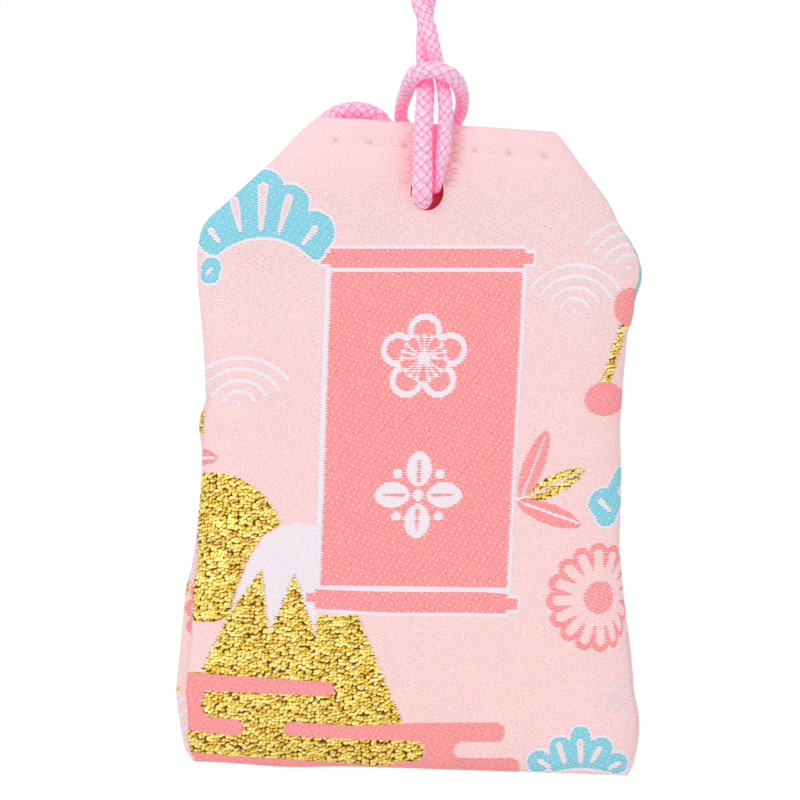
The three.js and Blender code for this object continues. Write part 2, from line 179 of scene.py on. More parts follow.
# Lining and wadding
LINING_INSET = 4.0
LINING_DROP = 1.4
LINING_GAP = 0.62  # from the face of the brocade
LINING_GRID = 0.3
LINING_WIDTH = 44.0  # about, for the number of columns
LINING_CRUMPLE = 0.06
LINING_SHRINK = 0.76
PAD_HALF_WIDTH = 16.8
PAD_HALF_HEIGHT = 19.55
PAD_MIDDLE = -37.85
PAD_FRONT = -1.3
PAD_THICK = 0.8
PAD_CORNER = 0.9
PAD_GRID = (90, 104)
PAD_WAVE = 0.07
PAD_EDGE = 0.25  # share of the thickness

# Figures of the brocade
OUTLINE = 0.34
SLIT_EDGE = 0.33
ROLLER_EDGE = 0.38
LEAF_BLUNT = 0.62  # under 1, a leaf's ends are blunt
FLOWER = np.array([21.25, -45.2])
PETAL_TURN = 0.068
DISC_RADIUS = 2.0
ARC_HALF = 0.21
WAVE_DOT = 0.32
RINGS = [(1.39, 1.5), (2.59, 1.32), (3.87, 1.2), (5.12, 1.08)]  # radius, and how far round an arc goes
EDGE_ARC_HALF = 0.14
EDGE_RINGS = [(2.5, 0.87), (3.75, 0.97), (5.03, 1.045), (6.33, 1.087)]
NO_DOT = -1.0
# How far a figure is drawn round the edge, the place of that edge and the width it fades over
FLOWER_WRAP = (2.6, 24.1, 0.8)
WAVE_WRAP = (1.8, 25.4, 1.0)
# How far in and down figures lie on the back
BACK_LOW = (1.85, 3.8)
BACK_FLOWER = (2.2, 3.6)
BACK_WAVES = (3.9, 3.8)
BACK_LIFT = 1.0  # and how far up the pine at the shoulder
PLAIN_STRIP = 0.8  # along the back's seam, below the height that follows
PLAIN_TOP = -44.0

# Weave, with the weft level in the photograph
SHEAR = math.tan(TILT)
WEFT = 0.29
TOOTH = 0.6  # how far a yarn's end reaches past a figure's edge, in rows
UNEVEN = 0.1
RAGGED = {"gold": 1.7, "white": 1.5, "coral": 1.2, "turquoise": 1.0}
WOBBLE = 0.35  # of the weave's lines
RIM_WIDTH = 0.2  # of the shade along a figure's edge
TWILL = 0.285
TWILL_ACROSS = (0.36, 0.93, 0)
LEVEL_BASE = 64  # below the hole and up from there, for what changes with the height
LEVEL_SPAN = 72
LATTICE = ((0.65, -0.257), (0.34, 0.48))  # steps between the binding points of the satin
JITTER = 0.24  # of those points, in steps
# Kinds of binding points: fineness, half size, shift, seed and least strength
DASHES = (1.0, (0.084, 0.16), (0.0, 0.0), 0.0, 0.45)
# the coral's specks of painted shadow
PIT_SHADOWS = (1.4, (0.13, 0.1), (0.45, 0.3), 3.0, 0.0)
DOTS = (1.75, (0.12, 0.085), (0.0, 0.0), 5.0, 0.0)
FLOATS = (1.75, (0.19, 0.075), (0.5, 0.5), 7.0, 0.0)
SEEDS = (1.45, (0.19, 0.1), (0.2, 0.6), 9.0, 0.5)
GRAIN = (0.45, 0.35)  # length and height of a float of gold yarn
GRAIN_RANDOM = 0.92
GRAIN_DRIFT = 0.7
GRAIN_LIGHT = (0.2, -0.36, 0)  # which side of a float has painted shade, the other side painted lit
GRAIN_GAP = 0.63

# Steps of the materials' formulas
FORMULA_STEPS = {
    "__add__": "ADD", "__sub__": "SUBTRACT", "__mul__": "MULTIPLY", "__pow__": "POWER",
    "__abs__": "ABSOLUTE", "floor": "FLOOR", "fract": "FRACT", "sine": "SINE", "at_least": "MAXIMUM",
    "below": "LESS_THAN", "above": "GREATER_THAN",
}

# Cord
CORD_RADIUS = 1.0
BRAID_YARNS = 5  # that wind each way, over one and under one
BRAID_LENGTH = 1.1  # along the cord from one crossing to the next
BRAID_COVER = 0.97  # width of a yarn, as a share of the room it has
BRAID_FLAT = 5.0  # the greater, the flatter a yarn is
BRAID_LIFT = 0.7  # how far a yarn rises and dips, in its own half widths
BRAID_RELIEF = 0.22
BRAID_FLOOR = 0.45  # lowest height between the yarns
BRAID_EDGE = 0.26  # width of the dark line of painted shade round a yarn, as a difference of height
BRAID_UNEVEN = 0.06
# reach of the ambient occlusion that finds the hollows for the cord's painted shade
HOLLOW_REACH = 3.5
BRAID_FIBRES = 5  # that show across a yarn
GLINT_PLACE = 0.76  # across a yarn, of the painted highlight
GLINT_HALF = 0.13
CURVE_STEPS = 40  # between two points of a route
CORD_STEP = 0.07
CORD_SIDES = 88
CORD_JOIN = 26.8  # where the lower and upper lengths of the cord meet, above the hole
LOOP_TURN = 27.2  # the loop twists between these heights
LOOP_STILL = 46.0
NECK_TURN = 15.5  # and the neck swings between these
NECK_STILL = 25.0
HANG_AXIS = (-0.2, -0.8)
KNOT_BOTTOM = 65.0
KNOT_HEIGHT = 6.0
KNOT_TURNS = 2.6
KNOT_OUT = 1.85
KNOT_INNER = 0.2
KNOT_POINTS = 60
KNOT_START = 0.6
KNOT_TUCK = 0.1
KNOT_MARGIN = 0.9
KNOT_LEAN = 0.35
TAIL_ROOT = (0.9, 1.5)
TAIL_RISE = 0.3
TAIL_START = 1.3
TAIL_SPREAD = 1.6
TAIL_SKEW = 0.5
TAIL_LENGTH = 8.5
# How full the cord is at heights above the hole, where it is pressed wide or drawn thin
FULL_LEFT = [(2, 1.17), (5, 1.1), (9, 1.06), (11.8, 1.03), (15, 0.8), (18, 0.86), (22, 1.0)]
FULL_RIGHT = [
    (0.3, 0.55), (1.6, 0.66), (3, 0.78), (5, 0.88), (8, 0.87), (12, 0.78), (15, 0.78), (18, 0.88),
    (22, 1.0),
]
FULL_HITCH = [(6, 1.0), (8.5, 0.77), (10.2, 0.77), (11.8, 0.86), (13.2, 0.97)]

# Routes of the cord, seen from the hole
LEFT_ROUTE = [
    [-0.55, 2.05, -0.8], [-0.55, 0.4, -0.75], [-0.56, -1.5, -0.55], [-0.56, -2.9, 0.4],
    [-0.52, -3.4, 1.9], [-0.49, -3.3, 4.2], [-0.42, -3.2, 6.6], [-0.34, -3.1, 8.8], [-0.17, -2.2, 11.2],
    [-0.24, -1.0, 13.4], [-0.45, 0.2, 15.5], [-0.28, 0.5, 18.4], [0.05, 0.2, 21.7], [0.75, -0.6, 24.6],
    [0.95, -0.8, 26.0],
]
RIGHT_ROUTE = [
    [0.8, 2.05, 0.7], [0.85, 0.4, 0.6], [1.0, -0.9, 0.6], [1.12, -1.9, 1.25], [1.46, -2.6, 3.1],
    [1.8, -2.95, 5.0], [1.96, -3.0, 6.6], [2.1, -2.95, 8.8], [1.9, -2.6, 11.2], [1.52, -2.2, 13.4],
    [0.92, -1.95, 15.5], [0.2, -2.0, 18.4], [-0.9, -1.8, 21.7], [-1.3, -1.0, 24.6], [-1.35, -0.8, 26.0],
]
ARCH_ROUTE = [
    [-2.0, 4.3, 6.8], [-2.2, 4.3, 7.3], [-2.85, 3.8, 8.6], [-2.82, 2.7, 9.95], [-2.35, 0.7, 11.4],
    [-1.82, -1.9, 12.6], [-0.95, -3.8, 13.45], [0.6, -4.6, 13.7], [2.15, -4.5, 13.35],
    [3.2, -3.4, 12.6], [3.78, -1.2, 11.6], [3.98, 1.2, 10.4], [3.75, 3.1, 9.2], [3.1, 4.1, 8.1],
    [2.5, 4.3, 7.3], [2.4, 4.3, 6.8],
]
LEFT_EAR_ROUTE = [
    [-3.5, 4.3, 4.3], [-3.85, 4.3, 4.5], [-4.1, 4.2, 5.6], [-4.5, 4.1, 7.4], [-5.8, 3.9, 9.05],
    [-8.3, 3.7, 9.62], [-10.9, 3.6, 8.7], [-12.4, 3.6, 6.4], [-12.2, 3.6, 3.7], [-10.6, 3.7, 1.6],
    [-8.0, 3.9, 0.7], [-5.6, 4.2, 1.4], [-4.3, 4.3, 1.8], [-3.5, 4.3, 1.9],
]
RIGHT_EAR_ROUTE = [
    [3.9, 4.3, 4.2], [4.9, 4.25, 4.35], [6.3, 4.1, 4.9], [8.2, 3.9, 5.1], [10.6, 3.7, 4.0],
    [12.0, 3.6, 1.7], [11.6, 3.6, -0.9], [9.7, 3.7, -2.6], [7.5, 3.9, -2.3], [5.9, 4.1, -0.6],
    [5.1, 4.25, 1.0], [4.5, 4.3, 1.6], [3.9, 4.3, 1.75],
]
# The hanging loop, the same on both sides: out from its axis and up from the hole
LOOP_HALF = [
    (1.3, 28.5), (2.0, 36.0), (3.1, 46.0), (3.6, 54.0), (3.1, 59.5), (1.8, 63.0), (1.1, 64.7), (0.8, 66.8),
]
# The knot behind: two upright runs from the hole to the arch, woven with two level runs between the ears
LEFT_UPRIGHT = [
    [-0.55, 2.3, -1.1], [-1.0, 4.2, -1.3], [-1.8, 5.2, 0.0], [-2.05, 5.3, 1.8], [-2.0, 4.3, 3.1],
    [-2.0, 3.45, 4.4], [-2.0, 3.9, 5.8],
]
RIGHT_UPRIGHT = [
    [2.4, 4.7, 5.8], [2.4, 5.25, 4.4], [2.4, 4.3, 3.1], [2.35, 3.5, 1.8], [1.9, 3.7, 0.4],
    [1.3, 3.2, -0.2], [0.8, 2.3, 0.7],
]
UPPER_LEVEL = [[-2.0, 5.3, 4.35], [0.2, 4.3, 4.3], [2.4, 3.35, 4.25]]
LOWER_LEVEL = [[2.4, 5.3, 1.8], [0.2, 4.3, 1.85], [-2.05, 3.3, 1.85]]

# The photograph's frame
VIEW_WIDTH = 89.6
VIEW_MIDDLE = (-2.82, -83.07)
CAMERA_DISTANCE = 600.0
SENSOR = 36.0
FLOOR_DROP = 36.0
FLOOR_RADIUS = 300.0
FLOOR_GRID = (12, 96)
SKY_STRENGTH = 0.68
LAMPS = (
    ("key", (-0.35, -0.5, 0.3), 0.25, 1.5), ("fill", (0.45, -0.45, -0.02), 0.4, 0.4),
    ("rim", (0.2, 0.5, 0.25), 0.3, 0.8),
)  # name, place, size and power


def ease(u):
    u = np.clip(u, 0, 1)
    return u * u * (3 - 2 * u)


def from_pouch(x, y, z):
    """Places in metres of points in the pouch's own frame."""
    cosine, sine = math.cos(TILT), math.sin(TILT)
    turned = np.stack([x * cosine + z * sine, y, z * cosine - x * sine], -1)
    return (turned + HOLE) * MM


def from_hole(points):
    return (np.asarray(points, float) + HOLE) * MM


# Meshes

def add_object(name, data):
    obj = bpy.data.objects.new(name, data)
    bpy.context.scene.collection.objects.link(obj)
    return obj


def grid_mesh(name, places, closed=False, keep=None):
    """A mesh object over a grid of places, joined round along its second axis where closed."""
    rows, columns = places.shape[:2]
    index = np.arange(rows * columns).reshape(rows, columns)
    right = np.roll(index, -1, axis=1) if closed else index[:, 1:]
    left = index if closed else index[:, :-1]
    faces = np.stack([left[:-1], right[:-1], right[1:], left[1:]], -1)
    if keep is not None:
        faces = faces[keep]
    mesh = bpy.data.meshes.new(name)
    mesh.from_pydata(places.reshape(-1, 3), [], faces.reshape(-1, 4).tolist())
    mesh.polygons.foreach_set("use_smooth", np.ones(len(mesh.polygons), bool))
    return add_object(name, mesh)


def set_values(obj, name, values):
    attribute = obj.data.attributes.new(name, "FLOAT", "POINT")
    attribute.data.foreach_set("value", np.ravel(values).astype(np.float32))


def set_uv(obj, name, corners):
    obj.data.uv_layers.new(name=name).data.foreach_set("uv", corners.ravel().astype(np.float32))


def set_weave(obj, across, up):
    """Cloth coordinates in millimetres, one for each corner of the mesh."""
    corners = np.zeros(len(obj.data.loops), int)
    obj.data.loops.foreach_get("vertex_index", corners)
    set_uv(obj, "weave", np.stack([np.ravel(across), np.ravel(up)], -1)[corners])


def corner_mean(values):
    """Mean of a grid's values over each of its squares."""
    return (values[:-1, :-1] + values[1:, 1:] + values[:-1, 1:] + values[1:, :-1]) / 4


def flip(obj):
    obj.data.flip_normals()
    return obj


# Figures of the brocade

class Cloth:
    """Places on the cloth. Each shape is the distance to its edge, negative inside."""

    def __init__(self, p, q):
        self.p = p
        self.q = q

    def moved(self, across, up):
        return Cloth(self.p + across, self.q + up)

    def drawn_in(self, most, edge, width):
        """Places for a figure that narrows towards the edge, where the cloth turns away."""
        return Cloth(self.p + most * np.exp((self.p - edge) / width), self.q)

    def circle(self, middle, radius):
        return np.hypot(self.p - middle[0], self.q - middle[1]) - radius

    def oval(self, middle, half):
        off = np.hypot((self.p - middle[0]) / half[0], (self.q - middle[1]) / half[1])
        return (off - 1) * min(half)

    def stroke(self, start, end, radius, end_radius=None):
        """A straight stroke with round ends that may taper."""
        dp, dq = end[0] - start[0], end[1] - start[1]
        p, q = self.p - start[0], self.q - start[1]
        t = np.clip((p * dp + q * dq) / (dp * dp + dq * dq), 0, 1)
        wide = radius + t * ((radius if end_radius is None else end_radius) - radius)
        return np.hypot(p - t * dp, q - t * dq) - wide

    def circles(self, *each):
        return union(*[self.circle(*one) for one in each])

    def strokes(self, *each):
        return union(*[self.stroke(*one) for one in each])

    def leaf(self, base, tip, half):
        """A pointed leaf, widest at its middle."""
        dp, dq = tip[0] - base[0], tip[1] - base[1]
        length = math.hypot(dp, dq)
        p, q = self.p - base[0], self.q - base[1]
        t = (p * dp + q * dq) / length ** 2
        beyond = np.maximum(-t, t - 1) * length
        t = np.clip(t, 0, 1)
        off = np.abs(q * dp - p * dq) / length
        return np.maximum(off - half * (4 * t * (1 - t)) ** LEAF_BLUNT, beyond)

    def polygon(self, points):
        distance = np.full(self.p.shape, 1e9)
        inside = np.zeros(self.p.shape, bool)
        for (ap, aq), (bp, bq) in zip(points, points[1:] + points[:1]):
            distance = np.minimum(distance, self.stroke((ap, aq), (bp, bq), 0))
            slope = (bp - ap) / (bq - aq) if bq != aq else 0
            inside ^= ((aq > self.q) != (bq > self.q)) & (self.p < ap + (self.q - aq) * slope)
        return np.where(inside, -distance, distance)

    def box(self, low, high):
        return self.polygon([low, (high[0], low[1]), high, (low[0], high[1])])


def union(*shapes):
    return np.minimum.reduce(shapes)


def cut(shape, *cutters):
    return np.maximum.reduce([shape] + [-c for c in cutters])


def rays(count, start=0.0):
    """Directions spread evenly round a middle."""
    angles = start + TURN * np.arange(count) / count
    return np.stack([np.cos(angles), np.sin(angles)], -1)


def waves(cloth, middle, stretch, rings=RINGS, half=ARC_HALF, dot=WAVE_DOT):
    """Nested arcs over a dot."""
    across, up = (cloth.p - middle[0]) / stretch, cloth.q - middle[1]
    off_top = np.abs(np.arctan2(up, across) - math.pi / 2)
    arcs = [cloth.circle(middle, dot)]
    for radius, spread in rings:
        ring = np.abs(np.hypot(across, up) - radius) - half
        arcs.append(np.maximum(ring, (off_top - spread) * radius))
    return union(*arcs)


def pine(cloth, lobes, arch, slits):
    """A cut of pine: round lobes over an arch, with slits. Gives the cut and its outlined shape."""
    fan = cut(cloth.circles(*lobes), cloth.circle(*arch))
    opened = cloth.strokes(*slits)
    return cut(fan, opened), cut(fan - OUTLINE, opened + SLIT_EDGE)


def shoulder_pine(cloth):
    lobes = [
        ((-18.4, 0.35), 2.4), ((-15.4, -1.2), 2.22), ((-12.6, -4.35), 2.4), ((-20.9, -1.1), 2.45),
        ((-23.0, -4.3), 2.6), ((-18.2, -5.0), 4.2), ((-12.2, -6.4), 1.0),
    ]
    slits = [
        ((-18.35, 0.65), (-18.4, -3.9), 0.66, 0.3), ((-15.4, -0.5), (-16.35, -4.2), 0.54, 0.26),
        ((-21.55, -0.8), (-20.7, -4.1), 0.58, 0.26), ((-24.0, -4.1), (-23.0, -5.4), 0.4, 0.22),
        ((-12.35, -3.95), (-13.65, -5.6), 0.42, 0.26),
    ]
    return pine(cloth, lobes, ((-18.1, -12.4), 7.57), slits)


def foot_pine(cloth):
    lobes = [
        ((19.65, -60.65), 1.05), ((22.07, -62.05), 1.2), ((23.9, -63.8), 1.2), ((17.45, -61.95), 1.2),
        ((15.12, -63.55), 1.25), ((19.75, -63.2), 2.4), ((17.5, -63.4), 1.4), ((22.0, -63.5), 1.4),
    ]
    slits = [
        ((19.66, -61.3), (19.83, -63.6), 0.4, 0.27), ((17.3, -61.7), (18.0, -63.6), 0.36, 0.27),
        ((21.85, -62.05), (21.1, -63.5), 0.34, 0.26), ((15.25, -63.5), (16.25, -64.1), 0.28, 0.26),
        ((24.1, -63.75), (23.15, -64.35), 0.29, 0.24),
    ]
    return pine(cloth, lobes, ((19.84, -74.99), 10.7), slits)


def drops(cloth):
    """The small turquoise figures at the edges, with their outlines."""
    bud = cloth.circles(((-23.8, -8.25), 1.1), ((-23.9, -9.0), 1.05))
    pair = cloth.strokes(
        ((21.4, -34.85), (21.5, -36.05), 1.93, 1.15), ((22.0, -33.4), (23.0, -31.1), 0.6, 0.5),
    )
    bud_slit = cloth.stroke((-24.2, -8.9), (-23.75, -8.3), 0.2)
    pair_slit = cloth.stroke((20.85, -34.45), (21.95, -35.5), 0.34, 0.2)
    return union(cut(bud, bud_slit), cut(pair, pair_slit)), union(bud, pair) - OUTLINE


def scroll(cloth):
    """The hanging scroll: its face and rollers, and the shape that edges them."""
    face = cloth.polygon([(-10.33, -8.74), (11.05, -8.74), (10.7, -44.05), (-10.05, -43.8)])
    edging = cloth.polygon([
        (-11.05, -8.3), (11.62, -8.3), (11.22, -30.0), (11.26, -44.6), (-10.83, -44.2),
    ])
    lower = cloth.polygon([
        (-10.6, -44.25), (-4.0, -44.5), (8.0, -44.55), (10.85, -44.75), (10.85, -46.95), (6.0, -46.85),
        (-2.0, -46.85), (-10.6, -46.4),
    ])
    ends = [
        ((-10.5, -8.3), (11.15, -6.15)), ((-11.6, -7.85), (12.2, -6.7)),
        ((-11.6, -45.66), (-10.0, -44.65)), ((10.0, -46.54), (12.0, -45.29)),
    ]
    rollers = union(lower, *[cloth.box(*corners) for corners in ends])
    return union(face, rollers), union(edging, rollers - ROLLER_EDGE)


def blossom(cloth, middle):
    """A plum blossom in outline, with its stamens."""
    petals = [cloth.circle(middle + 3.05 * ray, 1.95) for ray in rays(5, math.pi / 2)]
    stamens = [cloth.circle(middle, 0.75)]
    for turn in (-0.33, 0, 0.33):
        for ray in rays(5, math.pi / 2 + turn):
            stamens.append(cloth.stroke(middle + 0.9 * ray, middle + 2.3 * ray, 0.14))
            stamens.append(cloth.circle(middle + 2.45 * ray, 0.3))
    inner = union(*[petal + 0.72 for petal in petals], cloth.circle(middle, 2.6))
    return union(cut(union(*petals), inner), *stamens)


def diamond_flower(cloth, middle):
    """Four pointed petals round a dot, in a lozenge."""
    shapes = [cloth.circle(middle, 0.62)]
    for ray in rays(4):
        petal = cloth.leaf(middle + 0.9 * ray, middle + 4.9 * ray, 1.45)
        vein = cloth.stroke(middle + 1.6 * ray, middle + 3.9 * ray, 0.2, 0.12)
        corner = middle + 2.35 * (ray + np.array([-ray[1], ray[0]]))
        shapes += [cut(petal, vein), cloth.circle(corner, 0.55)]
    return union(*shapes)


def chrysanthemum(cloth, middle):
    """A flower drawn by the outline of its petals, round a disc."""
    petals = rays(16, PETAL_TURN)
    outer = union(cloth.circle(middle, 4.9), *[cloth.circle(middle + 5.08 * ray, 1.03) for ray in petals])
    heads = [cloth.stroke(middle + 2.0 * ray, middle + 4.85 * ray, 0.54, 0.57) for ray in petals]
    return union(cut(outer, cloth.circle(middle, 3.2), *heads), cloth.circle(middle, 1.82))


def gold_tongue(cloth):
    """The end of the mountain's foot between two bands of cloud."""
    return cloth.stroke((-4.0, -62.3), (1.2, -62.4), 1.2)


def clouds(cloth):
    """Bands of cloud across the mountain's foot."""
    left = union(cloth.box((-28.0, -60.1), (-22.4, -53.6)), cloth.strokes(
        ((-23.1, -54.6), (-8.75, -55.4), 0.95, 0.78), ((-22.9, -59.3), (-18.9, -59.7), 0.9),
    ))
    notch = cloth.stroke((-21.6, -57.0), (-15.0, -57.2), 1.2)
    right = union(cloth.box((1.0, -64.4), (6.4, -60.5)), cloth.strokes(
        ((-12.7, -59.85), (-5.2, -60.3), 0.78, 0.76), ((-5.2, -60.3), (0.6, -60.2), 0.76, 1.0),
        ((0.6, -60.2), (10.05, -60.25), 1.0, 1.13), ((3.0, -64.2), (12.0, -64.2), 1.03),
    ))
    pale_notch = cloth.stroke((6.5, -62.27), (16.0, -62.2), 0.9)
    strip = cloth.polygon([
        (-28, -62.2), (-18.9, -62.95), (-7.6, -63.65), (-3.1, -64.1), (-1.2, -63.9), (0.4, -63.2),
        (2.0, -62.6), (4.5, -62.6), (4.5, -67), (-28, -67),
    ])
    return union(cut(left, notch), cut(union(right, strip), gold_tongue(cloth), pale_notch))


def landscape(cloth):
    """The mountain with the sun behind it, and its snow."""
    snow = cloth.polygon([
        (-20.0, -46.6), (-19.2, -43.5), (-18.3, -40.9), (-16.8, -38.3), (-15.0, -37.2), (-13.1, -36.8),
        (-10.4, -37.1), (-10.1, -50.0), (-16.4, -50.0),
    ])
    mountain = cloth.polygon([
        (-20.0, -46.7), (-16.7, -42.0), (-15.6, -49.2), (-13.0, -42.6), (-10.4, -49.4), (-10.3, -47.1),
        (-5.8, -47.1), (-0.25, -59.2), (-0.25, -67.0), (-28.0, -67.0), (-28.0, -53.5), (-23.0, -53.5),
    ])
    sun = cut(cloth.circle((-22.8, -39.55), 8.35), snow)
    return union(mountain, gold_tongue(cloth), sun), snow


def sprigs(cloth):
    """The gold leaf, the coral leaves and their veins."""
    gold_vein = cloth.stroke((12.7, -33.9), (18.5, -31.05), 0.15)
    gold_leaf = cut(cloth.leaf((12.0, -34.4), (18.9, -30.85), 1.12), gold_vein)
    vein_ends = [
        ((12.0, -33.9), (14.3, -27.3)), ((12.1, -34.6), (18.3, -36.8)), ((11.2, -34.2), (12.9, -33.9)),
        ((-26.0, -29.7), (-22.6, -29.55)),
    ]
    veins = union(*[cloth.stroke(start, end, 0.16) for start, end in vein_ends])
    leaves = union(
        cloth.leaf((11.8, -34.4), (14.5, -26.5), 1.15), cloth.leaf((11.5, -34.5), (18.7, -37.15), 1.15),
        cloth.leaf((-27.0, -29.3), (-22.1, -29.55), 1.0),
    )
    return gold_leaf, cut(leaves, veins), union(veins, gold_vein)


def brocade(cloth, side):
    """Distances of the four woven colours. The back is cut a little differently from the front."""
    back = side > 0
    landscape_gold, snow = landscape(cloth)
    gold_leaf, leaves, veins = sprigs(cloth)
    stick = cloth.stroke((22.75, -14.4), (20.8, -21.2), 0.32, 0.52)
    balls = union(cloth.oval((23.2, -12.65), (1.75, 2.15)), cloth.oval((20.8, -23.0), (2.25, 1.9)))
    face, edging = scroll(cloth)
    ornaments = union(
        blossom(cloth, np.array([0.4, -18.4])), diamond_flower(cloth, np.array([0.4, -33.7])),
    )
    shoulder, shoulder_edge = shoulder_pine(cloth.moved(0.0, -BACK_LIFT) if back else cloth)
    foot, foot_edge = foot_pine(cloth.moved(*BACK_LOW) if back else cloth)
    drop, drop_edge = drops(cloth)
    if back:
        flower = chrysanthemum(cloth.moved(*BACK_FLOWER), FLOWER)
        corner_waves = waves(cloth.moved(*BACK_WAVES), (26.0, -59.3), 1.05)
    else:
        flower = chrysanthemum(cloth.drawn_in(*FLOWER_WRAP), FLOWER)
        wrapped = cloth.drawn_in(*WAVE_WRAP)
        corner_waves = waves(wrapped, (27.0, -60.2), 1.0, EDGE_RINGS, EDGE_ARC_HALF, NO_DOT)
    arcs = union(
        waves(cloth, (17.0, -13.1), 1.1), waves(cloth, (22.9, -8.2), 1.1),
        waves(cloth, (-20.0, -23.5), 1.22), corner_waves,
    )
    gold = union(landscape_gold, stick, gold_leaf)
    coral = union(cut(face, ornaments), leaves, balls, flower, clouds(cloth))
    turquoise = union(shoulder, foot, drop)
    if back:
        fleck = cloth.stroke((24.4, -26.5), (24.3, -28.5), 0.45)
        flecks = cloth.circles(((25.0, -45.7), 0.35), ((25.15, -46.6), 0.45), ((25.6, -57.75), 0.35))
        edge = right_edge(cloth.q + SHEAR * cloth.p)
        strip = np.maximum(edge - PLAIN_STRIP + cloth.p, cloth.q - PLAIN_TOP)
        gold = cut(union(gold, fleck, flecks), strip)
        coral = cut(coral, strip)
        turquoise = union(turquoise, cloth.stroke((-24.4, -5.0), (-24.6, -9.5), 0.9))
    return {
        "gold": gold,
        "coral": cut(coral, shoulder_edge, foot_edge),
        "white": union(edging, snow, veins, shoulder_edge, foot_edge, drop_edge, arcs),
        "turquoise": turquoise,
    }


# Cloth of the pouch

def edge_line(points):
    """The outline's place across at a height, with its corners rounded."""
    heights, places = zip(*sorted(points))
    offsets = np.linspace(-EDGE_ROUND, EDGE_ROUND, 9)
    return lambda z: np.mean([np.interp(z + offset, heights, places) for offset in offsets], axis=0)


left_edge = edge_line(LEFT_EDGE)
right_edge = edge_line(RIGHT_EDGE)
left_seam = edge_line(LEFT_SEAM)
right_seam = edge_line(RIGHT_SEAM)


def depth_at(z):
    """Half depth of the pouch along its middle."""
    crown = HEM_DEPTH + (CROWN_DEPTH - HEM_DEPTH) * ease((TOP - z - FLAT_TOP) / TOP_SWELL)
    rise = np.clip((z - BASE) / BASE_SWELL, 0, 1)
    return crown * np.sqrt(1 - (1 - rise) ** 2)


def leaned(x, z):
    """Height of the cloth where its rows lean with the top edge and with the base."""
    near_top = ease((z - TOP + SLOPE_FADE) / SLOPE_FADE)
    near_base = ease((BASE + BASE_FADE - z) / BASE_FADE)
    slope = TOP_SLOPE * near_top + BASE_SLOPE * near_base
    dip = BASE_DIP * np.exp(-((x - DIP_MIDDLE) / DIP_HALF) ** 2) * near_base
    return z + x * slope - dip


def cloth_rows():
    """Heights and half depths of the rows, from inside the turned-in top, over it and down to the base."""
    inner = np.arange(TOP - LIP_REACH, TOP - LIP_RADIUS, 2 * GRID)
    roll = np.linspace(math.pi, 0, ROLL_ROWS)
    body = np.arange(TOP - LIP_RADIUS - GRID, BASE + BASE_SWELL, -GRID)
    band = BASE + BASE_SWELL * (1 - np.cos(np.linspace(math.pi / 2, 0, BASE_ROWS)))
    heights = np.concatenate([inner, TOP - LIP_RADIUS + LIP_RADIUS * np.sin(roll), body, band])
    lip = (HEM_DEPTH - LIP_RADIUS) + LIP_RADIUS * np.cos(roll)
    depths = np.concatenate([np.full(len(inner), lip[0]), lip, depth_at(body), depth_at(band)])
    return heights, depths, len(inner) + len(roll)


def cloth_columns(z, start, end):
    """Places across and depth shares of the columns: round the left, over the face, round the right."""
    left = left_edge(leaned(EDGE_ACROSS[0], z))[:, None]
    right = right_edge(leaned(EDGE_ACROSS[1], z))[:, None]
    band = np.linspace(0, 1, SIDE_COLUMNS)[None, :]
    rise = start[:, None] + (math.pi / 2 - start[:, None]) * band
    fall = math.pi / 2 + (end[:, None] - math.pi / 2) * band
    count = int(round((PANEL_WIDTH - 2 * SIDE_SWELL) / GRID))
    face_left, face_right = left + SIDE_SWELL, right - SIDE_SWELL
    face = face_left + (face_right - face_left) * np.linspace(0, 1, count)[None, 1:-1]
    left_band, right_band = left + SIDE_SWELL * (1 - np.cos(rise)), right - SIDE_SWELL * (1 - np.cos(fall))
    x = np.concatenate([left_band, face, right_band], 1)
    share = np.concatenate([np.sin(rise), np.ones_like(face), np.sin(fall)], 1)
    return x, share


def puckers(x, z, side):
    """How far the cloth stands out from its smooth form: pulled at the seams, soft over the face."""
    from_base = z - BASE
    wave = np.zeros_like(x)
    for distance, phase in ((x - left_edge(z), 0.4), (right_edge(z) - x, 2.1)):
        long, short = [TURN * (z + slant * distance) / length for length, slant in SIDE_RIPPLES]
        ripple = np.sin(long + phase + 1.3 * np.sin(0.31 * z + phase)) + 0.6 * np.sin(short + 2 * phase)
        wave += SIDE_PUCKER * ripple * np.exp(-distance / SIDE_PUCKER_FADE)
    long, short = [TURN * (x + slant * from_base) / length for length, slant in BASE_RIPPLES]
    ripple = np.sin(long + side) + 0.5 * np.sin(short)
    wave += BASE_PUCKER * ripple * np.exp(-from_base / BASE_PUCKER_FADE)
    return wave + 0.09 * np.sin(0.21 * x + 0.13 * z + side) + 0.07 * np.sin(0.33 * z - 0.12 * x)


def stitch_places():
    across = STITCH_START + STITCH_PITCH * np.arange(STITCH_COUNT + 1)
    return zip(across, STITCH_HEIGHT + STITCH_SLOPE * across)


def sewn(x, z):
    """Depth of the groove and the dimples that the top seam presses into the cloth."""
    row = z - STITCH_HEIGHT - STITCH_SLOPE * x
    dent = GROOVE[0] * np.exp(-(row / GROOVE[1]) ** 2)
    for across, up in stitch_places():
        dent += DIMPLE[0] * np.exp(-((x - across) ** 2 + (z - up) ** 2) / DIMPLE[1] ** 2)
    return dent


def needle_marks_and_shade(x, z):
    """Marks round the holes that the needle made, with painted shade in their dimples."""
    mark = np.zeros_like(x)
    for across, up in stitch_places():
        off = np.hypot((x - across) / PRICK_HALF[0], (z - up) / PRICK_HALF[1])
        mark = np.maximum(mark, PRICK_DARK * np.exp(-off ** 2))
    return mark


